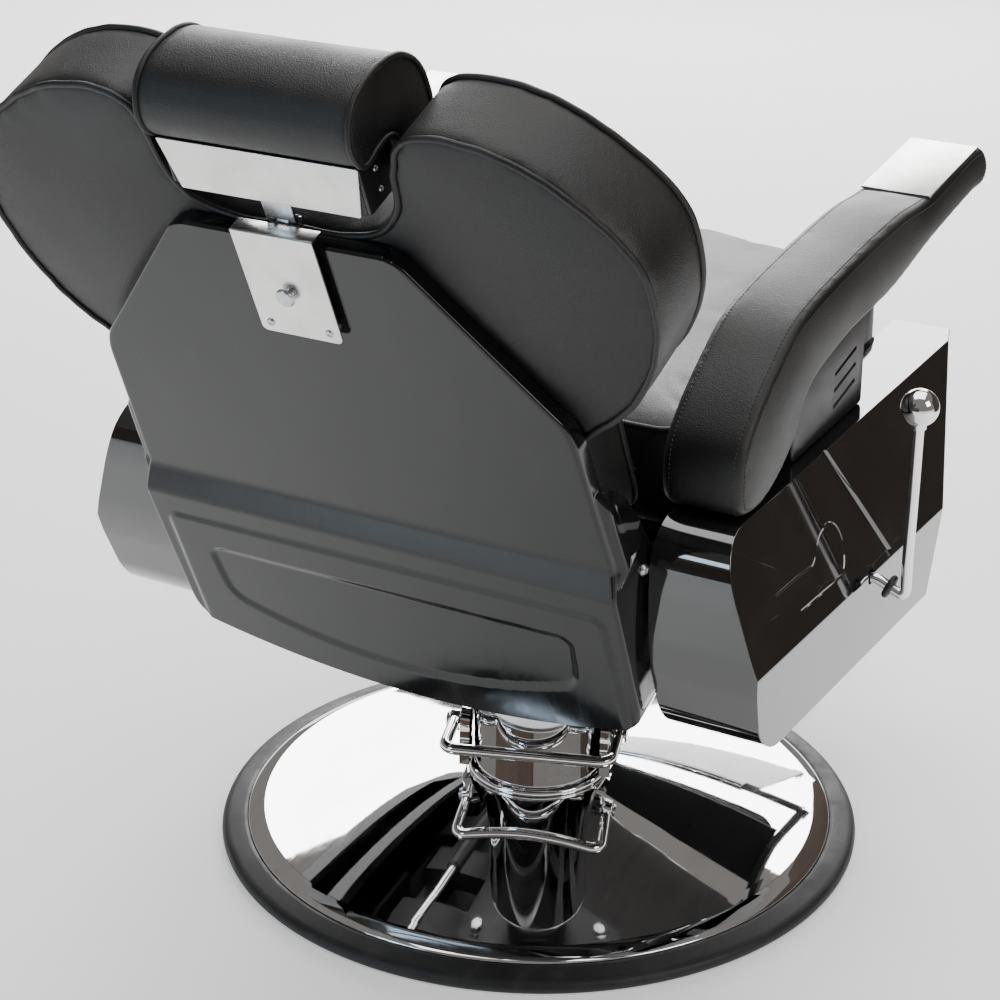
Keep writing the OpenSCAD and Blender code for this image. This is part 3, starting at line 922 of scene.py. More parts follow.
def stitches(skin: BVHTree, line: Sequence[Vector], pitch: float = 4.6, length: float = 3.3) -> Shape:
    """Sews a row of stitches on a skin.

    Args:
        skin: Search tree of the skin, in metres.
        line: Points along the row, in metres.
        pitch: Distance from stitch to stitch, in millimetres.
        length: Length of one stitch, in millimetres.

    Returns:
        A shape with one small thread loop per stitch.
    """
    row = Shape()
    travelled, due = 0.0, 0.0
    for start, end in zip(line, line[1:]):
        span = (end - start).length / MM
        while due <= travelled + span and span > 0:
            spot = start.lerp(end, (due - travelled) / span)
            along = (end - start).normalized()
            near, normal, _, _ = skin.find_nearest(spot)
            across = normal.cross(along).normalized()
            turn = Matrix((along, across, normal)).transposed().to_4x4()
            part = Shape()
            bmesh.ops.create_icosphere(part.mesh, subdivisions=1, radius=1.0)
            bmesh.ops.scale(part.mesh, vec=(length / 2, 0.75, 0.55), verts=part.mesh.verts)
            row.add(part, Matrix.Translation((near + normal * 0.0001) / MM) @ turn)
            due += pitch
        travelled += span
    return row


def piping(name: str, body: Body, pad: bpy.types.Object, line: Sequence[Vector], radius: float,
           frame_of: Matrix) -> bpy.types.Object:
    """A vinyl-covered cord sewn into the seam of a finished cushion.

    Args:
        name: Name of the piece.
        body: Body it rides on.
        pad: Cushion whose skin the cord lies on.
        line: Points of the closed seam, in millimetres in its frame.
        radius: Radius of the cord, in millimetres.
        frame_of: Frame of the points.

    Returns:
        The piece.
    """
    skin = skin_tree(pad)
    spots = []
    for point in line:
        near, normal, _, _ = skin.find_nearest(frame_of @ point * MM)
        spots.append(near / MM + normal * radius * 0.45)
    for _ in range(2):
        spots = [(spots[i - 1] + 2 * spots[i] + spots[(i + 1) % len(spots)]) / 4 for i in range(len(spots))]
    return piece(Shape().tube(spots, radius, True), name, body, VINYL, sharp=80.0)


# ---------------------------------------------------------------------------- base and pump


@dataclass
class Base:
    """Round foot: rubber rim, spun chrome cover, pump column and pedal."""

    rim_radius: float = 355.0
    cover_radius: float = 71.7
    cover_top: float = 300.0
    pedal_half: float = 91.5
    pedal_pivot: tuple[float, float] = (12.0, 118.0)
    pedal_reach: float = 72.0
    pedal_rod: float = 6.5
    corner: float = 14.0

    def build(self) -> None:
        """Makes every visible piece of the foot."""
        self._rim()
        self._dome()
        self._column()
        self._pedal()
        for name in ("base_plate", "pump_flange"):
            paint_node(name, CASTING)
        for name in ("flange_bolts", "pump_cylinder", "pedal_pins", "pump_plunger", "swivel_bearing"):
            paint_node(name, ZINC)

    def _rim(self) -> None:
        """Soft rubber bumper with a tucked inner lip."""
        r = self.rim_radius
        rim = Shape().lathe([(r - 33, 0, 1), (r - 2.5, 0, 2), (r, 3, 2), (r, 8.5, 4), (r - 5, 13.2, 5),
                             (r - 25.5, 18, 1.6), (r - 28.8, 17.6, 0.6), (r - 28.9, 13.5), (r - 33, 13.5)],
                            224)
        piece(rim, "base_rim_rubber", Body.BASE, RUBBER, "base_trim_ring", sharp=50.0)

    def _dome(self) -> None:
        """Spun cover: bright rolled lip, shallow cone, small turned-up neck."""
        r = self.rim_radius - 29
        outer = [(r - 0.1, 18.2, 1.5), (r - 4, 21.2, 3), (r - 19, 27.2, 6), (r - 24, 27.9, 6),
                 (82.0, 65.4, 9), (75.0, 66.0, 2), (73.0, 67.0)]
        inner = [(72.2, 64.0), (82.0, 62.6, 8), (r - 24, 24.9, 5), (r - 19, 24.0, 5), (r - 4, 17.6, 2),
                 (r - 2.4, 14.0)]
        piece(Shape().lathe(outer + inner, 224), "base_cover_chrome", Body.BASE, CHROME, "base_dome",
              sharp=70.0)

    def _column(self) -> None:
        """Pump cover, rolled foot ring, top cap, wiper seal and piston."""
        r, top = self.cover_radius, self.cover_top
        cover = [(r - 1.7, 66.5), (r, 66.5), (r, top, 0.8), (r - 1.7, top)]
        piece(Shape().lathe(cover, 128), "column_cover_chrome", Body.BASE, CHROME, "pump_cover")
        bead = [(r, 66.2), (r + 6.5, 66.2, 1), (r + 8.2, 69.5, 3), (r + 4, 74.2, 3), (r, 74.6)]
        piece(Shape().lathe(bead, 128), "column_foot_ring", Body.BASE, CHROME, "pump_foot_ring", sharp=60.0)
        cap = [(42.05, top), (r, top, 0.5), (r, top + 4, 2), (r - 6, top + 8, 2.5), (46, top + 8, 1),
               (42.05, top + 6.5)]
        piece(Shape().lathe(cap, 128), "column_cap_chrome", Body.BASE, CHROME, "pump_top_cap", sharp=60.0)
        seal = [(35.05, top), (42, top), (42, top + 10, 1), (38, top + 12, 1.4), (35.05, top + 9.5)]
        piece(Shape().lathe(seal, 96), "piston_wiper", Body.BASE, RUBBER, "piston_seal", sharp=60.0)
        ram = [(0, 60), (35, 60, 1), (35, 340, 1), (22, 340, 0.5), (22, 370, 1), (0, 370)]
        piece(Shape().lathe(ram, 96), "lift_ram_chrome", Body.LIFT, CHROME, "piston")

    def _pedal(self) -> None:
        """Bent rod with flattened eyes, on two forged brackets."""
        y, z = self.pedal_pivot
        bar, half, r = y + self.pedal_reach, self.pedal_half, self.pedal_rod
        rod = Shape(PUMP_FRAME)
        bend = [(half, bar - self.corner, z + 3)]
        bend += [(half - self.corner * (1 - math.cos(a)), bar - self.corner * (1 - math.sin(a)), z + 3)
                 for a in (math.radians(11.25 * i) for i in range(1, 9))]
        side = [(half, y + 9, z + 3)] + bend
        rod.tube(side + [(-x, v, w) for x, v, w in reversed(side)], r, sides=7)
        for x in (-97, 86):
            eye = placed((x, y, z), math.pi / 2, "Y")
            rod.lathe([(5.05, 0), (12, 0, 1.5), (12, 11, 1.5), (5.05, 11)], 40, eye)
        piece(rod, "pedal_rod_chrome", Body.PEDAL, CHROME, "pedal_bar", sharp=50.0)
        lug = [(-10, 74.2), (34, 74.2), (34, 98, 4), (30, 102, 4), (y + 17.6, z, 6), (y + 12, z + 13.4, 6),
               (y, z + 18, 8), (y - 12, z + 13.4, 6), (y - 17.6, z, 6), (-6, 102, 4), (-10, 98, 4)]
        lugs = Shape(PUMP_FRAME)
        for low in (73, -84):
            lugs.plate(Plane.ACROSS_X, lug, low, low + 11, 1.6, 4)
        piece(lugs, "pedal_lugs_chrome", Body.BASE, CHROME, "pedal_brackets", sharp=50.0)


# ---------------------------------------------------------------------------- back shell


@dataclass
class BackShell:
    """Moulded tray behind the back cushion, drawn in the frame of the back."""

    outline: tuple[tuple[float, float], ...] = (
        (11.5, 246.0), (14.0, 252.0), (19.0, 257.0), (26.0, 260.0), (36.0, 261.4), (100.0, 263.4),
        (170.0, 265.0), (187.0, 265.0), (200.0, 263.2), (213.6, 261.0), (300.0, 256.0), (362.0, 252.9),
        (368.0, 251.9), (376.0, 249.6), (384.0, 246.2), (390.4, 241.9), (533.7, 124.3), (537.5, 120.5),
        (540.5, 115.5), (542.4, 110.0), (543.0, 104.0),
    )
    wall_front: tuple[tuple[float, float], ...] = (
        (10.0, -10.0), (24.0, -44.0), (60.0, -62.0), (190.0, -62.0), (225.0, -59.0), (262.0, -48.0),
        (286.0, -32.0), (296.0, -17.4), (303.0, -17.4),
    )
    bow_radius: float = 855.0
    skirt: float = 15.0
    relief: float = 2.6
    lip: float = 3.5
    thickness: float = 3.2
    columns: int = 196
    top: float = 543.0
    low: float = 11.5
    band_foot: float = 187.0
    field_half: float = 246.0
    field_top: float = 160.5
    panel_half: float = 203.0
    panel_top: float = 122.5
    panel_bow: float = 476.0
    panel_centre: float = 487.0
    wall_steps: int = 6
    # Dents of the side section: where it starts, and how far it runs out and forwards
    plain: tuple[tuple[float, float], ...] = (
        (-2.2, -0.4), (-0.9, -1.3), (-0.2, -2.4), (0.0, -3.6), (0.0, -4.6), (0.0, -5.8), (0.0, -7.0),
        (0.0, -9.0), (0.0, -11.0), (0.0, -13.0), (0.0, -15.0))
    flanged: tuple[tuple[float, float], ...] = (
        (-2.2, -0.4), (-0.9, -1.3), (-0.2, -2.6), (0.3, -4.4), (1.2, -5.6), (3.0, -6.2), (7.4, -6.5),
        (9.3, -7.2), (10.3, -8.8), (10.2, -12.0), (5.0, -25.0))

    def build(self) -> None:
        """Makes the tray and its screws."""
        self._tray()
        self._screws()

    def _bottom(self, x: float) -> float:
        """Height of the bowed bottom edge."""
        return -29.0 + self.bow_radius - math.sqrt(self.bow_radius ** 2 - x * x)

    def _depth(self, x: float, t: float) -> float:
        """How far the face stands rearwards: band, raised field and sunk panel.

        Args:
            x: Sideways place.
            t: Place up the back.

        Returns:
            The k of the outer face.
        """
        band = [(185.0, 1.0), (187.0, 0.985), (189.5, 0.92), (210.0, 0.09), (212.5, 0.025), (215.5, 0.004),
                (219.0, 0.0)]
        depth = self.skirt * lerp(band, t)
        field_edge = self._round_max((abs(x) - self.field_half, t - self.field_top), 13.0)
        depth += self.relief * (1.0 - soft_step(field_edge, -3.4, 3.0))
        smile = math.hypot(x, t - self.panel_centre) - self.panel_bow
        side = abs(x) - self.panel_half - 0.1 * (t - 80.0)
        sunk = self._round_max((smile, side, t - self.panel_top), 15.0)
        return depth - self.relief * (1.0 - soft_step(sunk, -3.0, 2.6))

    @staticmethod
    def _round_max(values: Sequence[float], radius: float) -> float:
        """The largest value, with the meeting corners rounded."""
        over = [max(0.0, v + radius) for v in values]
        return math.hypot(*over) - radius if max(values) > -radius else max(values)

    def _rows(self) -> list[float]:
        """Heights of the rows, closer together where the face has detail."""
        rows, height = [], self.low
        while height < self.top - 0.1:
            rows.append(height)
            near_band = 150 < height < 166 or 182 < height < 221 or 292 < height < 304
            height += 1.4 if near_band else 2.4 if height < self.band_foot else 6.0 if height < 520 else 1.6
        return rows + [self.top]

    def _place(self, column: float, row: float) -> Vector:
        """Where a grid point of the tray lies.

        Args:
            column: -1 to 1 over the face; beyond that, steps round the edge and along the wall.
            row: Height of the row before the bottom bows.

        Returns:
            The point (x, k, t).
        """
        side = math.copysign(1.0, column)
        half = lerp(self.outline, row)
        inner = half - self.lip
        face = min(1.0, abs(column))
        x = side * inner * face
        t = row
        if row < self.band_foot:
            t += (self._bottom(x) - self.low) * (self.band_foot - row) / (self.band_foot - self.low)
        depth = self._depth(x, t)
        steps = abs(column) - 1.0
        if steps > 0:
            index = round(steps) - 1
            flange = soft_step(row, 190.0, 212.0) * (1.0 - soft_step(row, 280.0, 302.0))
            if index < len(self.plain):
                (out, forward), (out2, forward2) = self.plain[index], self.flanged[index]
                x = side * (half + out + (out2 - out) * flange)
                depth += forward + (forward2 - forward) * flange
                depth = max(depth, lerp(self.wall_front, row))
            else:
                start = self.plain[-1][1] + (self.flanged[-1][1] - self.plain[-1][1]) * flange
                share = (index - len(self.plain) + 1) / self.wall_steps
                front = min(lerp(self.wall_front, row), depth + start - 0.3)
                x = side * (half + 5.0 * flange * (1.0 - share))
                depth = depth + start + (front - depth - start) * share
        return Vector((x, depth, t))

    def _tray(self) -> None:
        """Lays a grid over the face and round both sides, then folds the ends and gives it a wall."""
        rows = self._rows()
        extra = len(self.plain) + self.wall_steps
        count = self.columns + 1 + 2 * extra
        tray = Shape(BACK_FRAME)
        bmesh.ops.create_grid(tray.mesh, x_segments=count - 1, y_segments=len(rows) - 1, size=1.0)
        for vertex in tray.mesh.verts:
            i = round((vertex.co.x + 1) / 2 * (count - 1)) - extra
            j = round((vertex.co.y + 1) / 2 * (len(rows) - 1))
            column = 2 * i / self.columns - 1
            if i < 0:
                column = -1 + i
            elif i > self.columns:
                column = 1 + i - self.columns
            vertex.co = self._place(column, rows[j])
        self._fold(tray, rows[0])
        bmesh.ops.recalc_face_normals(tray.mesh, faces=tray.mesh.faces)
        shell = tray.to_object("back_shell_gloss", recalc=False)
        wall = shell.modifiers.new("wall", "SOLIDIFY")
        wall.thickness = self.thickness * MM
        wall.offset = -1.0
        apply_all(shell)
        settle(shell, Body.BACK, PANEL, ("back_shell",), 50.0)

    def _fold(self, tray: Shape, lowest: float) -> None:
        """Turns the top and bottom edges of the face forwards."""
        inner = lerp(self.outline, lowest)
        for top, steps in ((True, ((-1.0, 0.4), (-1.2, 1.1), (-6.0, 0.3), (-9.0, 0.0))),
                           (False, ((-1.0, -0.5), (-2.0, -1.4), (-10.0, -0.8), (-16.0, 0.0)))):
            border = [e for e in tray.mesh.edges if e.is_boundary
                      and all(self._is_rim(v.co, top) and abs(v.co.x) < inner + 5 for v in e.verts)]
            for forward, up in steps:
                out = bmesh.ops.extrude_edge_only(tray.mesh, edges=border)["geom"]
                moved = [g for g in out if isinstance(g, bmesh.types.BMVert)]
                bmesh.ops.translate(tray.mesh, vec=(0, forward, up), verts=moved)
                border = [g for g in out if isinstance(g, bmesh.types.BMEdge) and g.is_boundary
                          and all(v in moved for v in g.verts)]
        bmesh.ops.remove_doubles(tray.mesh, verts=tray.mesh.verts, dist=0.05)

    def _is_rim(self, place: Vector, top: bool) -> bool:
        """Whether a point lies on the top or the bottom edge of the face."""
        if top:
            return place.z > self.top - 0.1
        return place.y > 10.0 and place.z < self._bottom(place.x) + 1.0

    def _screws(self) -> None:
        """Domed side screws with washers, and the two screws of the headrest plate."""
        screws = Shape(BACK_FRAME)
        for side in (-1, 1):
            spot = placed((side * 265.1, -40, 177.6), side * math.pi / 2, "Y")
            screws.lathe([(0, -14), (2.4, -14, 0.5), (2.4, 0), (6.0, 0), (6.0, 0.9, 0.4), (4.9, 1.2),
                          (4.4, 3.0, 1.4), (2.0, 3.6, 0.5), (1.6, 2.2), (0, 2.2)], 28, spot)
            spot = placed((side * 31, 8.6, 453), -math.pi / 2, "X")
            screws.lathe([(0, -12), (1.9, -12, 0.4), (1.9, 0), (4.0, 0), (3.8, 1.1, 0.7), (1.6, 2.2, 0.5),
                          (1.2, 1.2), (0, 1.2)], 24, spot)
        piece(screws, "back_screws_zinc", Body.BACK, ZINC, "back_screws", sharp=40.0)


# ---------------------------------------------------------------------------- cushions


@dataclass
class BackCushion:
    """Two-lobed cushion with a boxed edge, piped at the back and at the front."""

    half: tuple[tuple[float, float], ...] = (
        (0, 547), (62, 547), (98, 560), (115, 582), (121, 610), (125, 634), (132, 651), (147, 662),
        (168, 667), (212, 664), (250, 651), (288, 628), (319, 600), (340, 574), (348, 552), (350, 528),
        (349, 502), (342, 470), (328, 437), (304, 401), (272, 372), (248, 352), (234, 330), (232, 290),
        (231, 200), (226, 190))
    rear: float = -18.0
    front: float = -106.0

    def build(self) -> None:
        """Makes the cushion and its two cords."""
        ring = [(x, t) for x, t in self.half] + [(-x, t) for x, t in reversed(self.half) if x > 0]
        rear = smooth_path([(x, self.rear, t) for x, t in ring], 4.0, True)
        front = smooth_path([(x, self.front, t) for x, t in ring], 4.0, True)
        form = Shape(BACK_FRAME)
        form.plate(Plane.ACROSS_Y, [(p.x, p.z) for p in rear[::3]], self.front, self.rear - 1.0)
        lid = min(form.mesh.faces, key=lambda f: f.calc_center_median().y)
        bmesh.ops.inset_region(form.mesh, faces=[lid], thickness=22.0, depth=15.0)
        lid = min(form.mesh.faces, key=lambda f: f.calc_center_median().y)
        bmesh.ops.inset_region(form.mesh, faces=[lid], thickness=26.0, depth=8.0)
        pad = Padding("back_cushion_vinyl", voxel=0.0065, cap=0.020, seams=rear + front,
                      limit=self._limit).stuff(form)
        world = Matrix.Scale(MM, 4) @ BACK_FRAME
        for line, sink in ((rear, -1), (front, 1)):
            near = [world @ (p + Vector((0, sink * -5.0, 0))) for p in line]
            press(pad, near, 0.0012, 0.005)
        upholster(pad, Body.BACK, 0.8, "back_cushion")
        for name, line, push in (("back_piping_rear", rear, 0.6), ("back_piping_front", front, 0.0)):
            piping(name, Body.BACK, pad, [p + Vector((0, push, 0)) for p in line], 3.3, BACK_FRAME)

    def _limit(self, place: Vector, start: Vector) -> Vector:
        """Keeps the rear face off the tray and the front inside its space."""
        half = lerp(BackShell.outline, start.z)
        outside = soft_step(abs(start.x) - half, -2.0, 26.0)
        if start.z > 549.0:
            outside = 1.0
        furthest = self.rear + 0.4 + 7.5 * outside
        place.y = min(place.y, furthest)
        place.y = max(place.y, -140.0)
        if abs(start.x) < 264 and start.z < 330:
            place.x = min(max(place.x, -254.0), 254.0)
        return place


@dataclass
class SeatCushion:
    """Boxed seat cushion with a bowed front and a piped top edge."""

    half_width: float = 258.0
    top: float = 592.0
    bottom: float = 476.3
    front: float = -395.0
    bow: float = 560.0

    def build(self) -> None:
        """Makes the cushion and its cord."""
        w = self.half_width
        half = [(x, self.front + self.bow - math.sqrt(self.bow ** 2 - x * x)) for x in range(0, 201, 40)]
        half += [(228, -338), (247, -318), (w, -290), (w, -100), (w, 60), (w, 150), (250, 178), (236, 187),
                 (120, 188)]
        ring = half + [(-x, y) for x, y in reversed(half) if x > 0]
        seam = smooth_path([(x, y, self.top - 14) for x, y in ring], 4.0, True)
        low = [p - Vector((0, 0, self.top - 14 - self.bottom - 4)) for p in seam]
        form = Shape()
        form.plate(Plane.ACROSS_Z, [(p.x * 0.985, p.y * 0.985) for p in seam[::3]], self.bottom,
                   self.top - 12)
        lid = max(form.mesh.faces, key=lambda f: f.calc_center_median().z)
        bmesh.ops.inset_region(form.mesh, faces=[lid], thickness=26.0, depth=6.0)
        pad = Padding("seat_cushion_vinyl", voxel=0.0075, cap=0.016, seams=seam + low,
                      limit=self._limit).stuff(form)
        upholster(pad, Body.SEAT, 0.85, "seat_cushion")
        cord = [Vector((p.x * 0.992, p.y * 0.99, p.z + 1)) for p in seam]
        piping("seat_piping", Body.SEAT, pad, cord, 3.0, WORLD)

    def _limit(self, place: Vector, start: Vector) -> Vector:
        """Keeps the cushion on its board and between the shells."""
        place.z = max(place.z, self.bottom + 0.2)
        place.x = min(max(place.x, -266.0), 266.0)
        place.y = min(place.y, 192.0)
        return place


@dataclass
class Headrest:
    """Padded roll with flat piped ends, on a bright plate and a tilting leaf."""

    half_length: float = 109.0
    profile: tuple[tuple[float, float], ...] = (
        (-9.7, 630), (-0.5, 643), (3.7, 659), (0.5, 674), (-6.5, 685), (-20, 695), (-43, 700), (-71, 698),
        (-95, 689), (-112, 672), (-120, 650), (-121, 628), (-119, 606), (-111, 594), (-85, 592), (-58, 593),
        (-57.5, 612), (-57, 632), (-30, 634))

    def build(self) -> None:
        """Makes the roll, the plate, the caps, the leaf and the screws."""
        self._roll()
        self._steelwork()

    def _roll(self) -> None:
        """The stuffed roll with its two end cords."""
        half = self.half_length
        loop = smooth_path([(half, k, t) for k, t in self.profile], 3.0, True)
        other = [Vector((-p.x, p.y, p.z)) for p in loop]
        form = Shape(BACK_FRAME)
        form.plate(Plane.ACROSS_X, [(p.y * 0.98 - 1.0, (p.z - 650) * 0.97 + 650) for p in loop[::2]],
                   -half + 0.5, half - 0.5)
        pad = Padding("headrest_roll_vinyl", voxel=0.0045, cap=0.0085, hold=5.0, seams=loop + other,
                      limit=self._limit).stuff(form)
        upholster(pad, Body.HEADREST, 0.9, "headrest_cushion")
        for name, line in (("headrest_piping_left", loop), ("headrest_piping_right", other)):
            piping(name, Body.HEADREST, pad, line, 2.9, BACK_FRAME)

    @staticmethod
    def _limit(place: Vector, start: Vector) -> Vector:
        """Keeps the roll off the steel channel and its ends nearly flat."""
        if start.y > -60 and start.z < 650 and abs(start.x) < 104:
            place.z = max(place.z, 632.2 if start.y > -56 else place.z)
        place.x = min(max(place.x, -117.5), 117.5)
        return place

    def _steelwork(self) -> None:
        """Folded channel, bright plate, end caps with screws, leaf and pin."""
        channel = Shape(BACK_FRAME)
        channel.plate(Plane.ACROSS_X, [(-56, 583, 3), (-8.2, 583, 2), (-8.2, 631, 2), (-11.2, 631),
                                       (-11.2, 586, 1),
                                       (-53, 586, 2), (-53, 631), (-56, 631, 2)], -98, 98, 0.4, 2)
        channel.box((-97.5, -52.8, 628), (97.5, -11.6, 630.8), 0.8)
        piece(channel, "headrest_channel_painted", Body.HEADREST, PAINT, "headrest_box", sharp=40.0)
        plate = Shape(BACK_FRAME).plate(Plane.ACROSS_Y, [(-92, 581, 2), (92, 581, 2), (103, 633, 2),
                                                         (-103, 633, 2)],
                                        -8, -5.5, 0.5)
        piece(plate, "headrest_plate_bright", Body.HEADREST, STAINLESS, "headrest_plate")
        caps = Shape(BACK_FRAME)
        screws = Shape(BACK_FRAME)
        for side in (-1, 1):
            low, high = sorted((side * 98.2, side * 101.5))
            caps.plate(Plane.ACROSS_X, [(-56, 583, 6), (-8.2, 583, 3), (-8.2, 631, 3), (-56, 631, 6)], low,
                       high, 0.8)
            for t in (596, 617):
                spot = placed((side * 101.4, -30, t), side * math.pi / 2, "Y")
                screws.lathe([(0, 0), (3.0, 0), (2.8, 0.9, 0.5), (1.3, 1.9, 0.4), (1.0, 1.1), (0, 1.1)], 20,
                             spot)
        piece(caps, "headrest_caps_black", Body.HEADREST, SATIN, "headrest_end_caps")
        piece(screws, "headrest_screws_zinc", Body.HEADREST, ZINC, "headrest_screws")
        leaf = Shape(BACK_FRAME)
        leaf.plate(Plane.ACROSS_Y, [(-15.5, 559, 1), (15.5, 559, 1), (15.5, 590), (-15.5, 590)], -14.5,
                   -11.5, 0.5)
        for side in (-1, 1):
            spot = placed((min(side * 7.4, side * 15.4), -18.5,
                                       553), math.pi / 2, "Y")
            leaf.lathe([(2.5, 0), (5, 0, 0.4), (5, 8, 0.4), (2.5, 8)], 32, spot)
            low, high = sorted((side * 7.4, side * 15.4))
            leaf.box((low, -18.2, 554), (high, -11.6, 561.5), 0.6)
        piece(leaf, "headrest_leaf_zinc", Body.HEADREST, ZINC, "headrest_leaf")
        paint_node("headrest_pin", ZINC)


@dataclass
class HeadrestMount:
    """Bright plate on the tray, with the release button, the socket and the sliding strap."""

    half_width: float = 42.5
    button_t: float = 492.0

    def build(self) -> None:
        """Makes the fixed and the sliding parts under the headrest."""
        w = self.half_width
        plate = Shape(BACK_FRAME)
        plate.plate(Plane.ACROSS_Y, [(-w, 442, 6), (w, 442, 6), (w, 555.6), (-w, 555.6)], 6, 8.5, 0.5)
        plate.plate(Plane.ACROSS_X, [(-8, 553.5), (8.4, 553.5, 1.5), (8.4, 556, 2.6), (-8, 556)], -w, w, 0.5)
        for x in (-31, 31):
            plate.rod((x, 0.2, 453), (x, 6.2, 453), 6, 28)
        piece(plate, "headrest_cover_bright", Body.BACK, STAINLESS, "headrest_bracket", sharp=50.0)
        spot = placed((0, 0, self.button_t), -math.pi / 2, "X")
        button = Shape(BACK_FRAME).lathe([(0, -6.5), (5, -6.5, 0.5), (5, 12.8), (9.2, 12.8, 0.8),
                                          (9.5, 15.2, 1.2), (7.8, 17.0, 1.2), (0, 16.6)], 48, spot)
        piece(button, "headrest_button_zinc", Body.BUTTON, ZINC, "headrest_button")
        strap = Shape(BACK_FRAME)
        strap.plate(Plane.ACROSS_Y, [(-15.5, 410, 4), (15.5, 410, 4), (15.5, 549.2), (-15.5, 549.2)], -14.5,
                    -11.5, 0.5)
        spot = placed((-7, -18.5, 553), math.pi / 2, "Y")
        strap.lathe([(2.55, 0), (5, 0, 0.4), (5, 14, 0.4), (2.55, 14)], 32, spot)
        strap.box((-7, -18.0, 540), (7, -14.2, 551), 0.6)
        piece(strap, "headrest_strap_zinc", Body.POST, ZINC, "headrest_post", sharp=40.0)
        paint_node("headrest_socket", PAINT)
        paint_node("back_frame", PAINT)
        paint_node("back_board", PLY)


# ---------------------------------------------------------------------------- side shells


@dataclass
class SideShells:
    """Faceted gloss shells beside the seat, hollow and open towards it."""

    inner_x: float = 270.0
    reach: float = 400.0
    side_view: tuple[tuple[float, ...], ...] = (
        (-308.5, 547.8, 9.0), (269.5, 521.6, 34.0), (280.2, 471.0, 18.0), (276.0, 388.0, 26.0),
        (246.0, 313.0, 18.0), (207.0, 287.0, 12.0), (-236.0, 296.2, 10.0), (-292.0, 467.0, 26.0))
    # Three points on each outer facet: upper, lower, and the two at the front
    facets: tuple[tuple[Point, Point, Point], ...] = (
        ((342, 250, 522), (346, -292, 547), (381, 262, 390)),
        ((381, 262, 390), (388, -172, 396), (371, 207, 289)),
        ((346, -306, 547), (343, -292, 467), (388, -172, 396)),
        ((343, -292, 467), (388, -172, 396), (371, -240, 297)))
    middle: tuple[float, float, float] = (322.0, -15.0, 405.0)
    hollow: tuple[float, float, float] = (0.85, 0.972, 0.92)
    edge: float = 7.0
    axle: tuple[float, float] = (14.0, 392.0)

    def build(self) -> None:
        """Makes the left shell, and the right one as its mirror with a hole for the lever."""
        for side, name in ((1, "left"), (-1, "right")):
            outer = self._form(self.edge).to_object(f"side_shell_gloss_{name}")
            inner = self._form(0.0)
            bmesh.ops.scale(inner.mesh, vec=self.hollow, verts=inner.mesh.verts,
                            space=Matrix.Translation(-Vector(self.middle)))
            skin = skin_tree(outer)
            cuts = [inner,
                    Shape().box((262, -200, 312), (283, 215, 492), 0),
                    Shape().box((292, -64, 495), (308, 74, 560), 0),
                    Shape().box((296, -190, 270), (345, 185, 312), 0)]
            if side < 0:
                cuts.append(Shape().rod((330, *self.axle), (self.reach, *self.axle), 8.0, 40, 0))
            carve(outer, cuts)
            carve(outer, [self._stripe(skin), self._pill(skin)])
            if side < 0:
                self._flip(outer)
            settle(outer, Body.SEAT, GLOSS, (f"side_shell_{name}",), 40.0)
            level = outer.modifiers.new("shading", "WEIGHTED_NORMAL")
            level.keep_sharp = True

    def _form(self, edge: float) -> Shape:
        """The closed outer form: the side view pulled out and sliced to its facets.

        Args:
            edge: Rounding where the facets meet.

        Returns:
            The shape.
        """
        form = Shape().plate(Plane.ACROSS_X, self.side_view, self.inner_x, self.reach)
        for points in self.facets:
            a, b, c = (Vector(p) for p in points)
            out = (b - a).cross(c - a).normalized()
            if out.x < 0:
                out.negate()
            cut = bmesh.ops.bisect_plane(form.mesh, geom=list(form.mesh.verts) + list(form.mesh.edges)
                                         + list(form.mesh.faces), plane_co=a, plane_no=out, clear_outer=True)
            rim = [g for g in cut["geom_cut"] if isinstance(g, bmesh.types.BMEdge)]
            bmesh.ops.edgeloop_fill(form.mesh, edges=rim)
        bmesh.ops.remove_doubles(form.mesh, verts=form.mesh.verts, dist=0.02)
        if edge:
            form.soften(edge, 4, angle=15.0)
        return form

    @staticmethod
    def _on_skin(skin: BVHTree, places: Sequence[Point], lift: float) -> list[Vector]:
        """Drops (y, z) places onto the outer facets.

        Args:
            skin: Search tree of the shell, in metres.
            places: Places in the side view, in millimetres.
            lift: How far outside the skin to stay.

        Returns:
            The points, in millimetres.
        """
        points = []
        for y, z in places:
            spot, normal, _, _ = skin.ray_cast(Vector((0.5, y * MM, z * MM)), Vector((-1, 0, 0)))
            points.append(spot / MM + normal * lift)
        return points

    def _stripe(self, skin: BVHTree) -> Shape:
        """Cutter for the slanting groove across the upper facet."""
        places = [(51 - 85 * i / 12, 526 - 127 * i / 12) for i in range(13)]
        line = self._on_skin(skin, places, 4.0)
        line.insert(0, line[0] + (line[0] - line[1]) * 3)
        return Shape().tube(line, 6.9, sides=4)

    def _pill(self, skin: BVHTree) -> Shape:
        """Cutter for the rounded outline pressed into the upper facet."""
        line = smooth_path([(y, z, 0) for y, z in (
            (206, 446), (160, 446.5), (124, 447), (114, 455), (100, 466), (78, 469.5), (63, 461),
            (57.5, 445), (62, 428), (70, 419), (84, 416), (120, 416), (167, 416))], 4.0)
        return Shape().tube(self._on_skin(skin, [(p.x, p.y) for p in line], 0.5), 1.7, sides=2)

    @staticmethod
    def _flip(shell: bpy.types.Object) -> None:
        """Mirrors a shell to the other side of the chair."""
        work = bmesh.new()
        work.from_mesh(shell.data)
        bmesh.ops.scale(work, vec=(-1, 1, 1), verts=work.verts)
        bmesh.ops.reverse_faces(work, faces=work.faces)
        work.to_mesh(shell.data)
        work.free()


# ---------------------------------------------------------------------------- armrests and lever


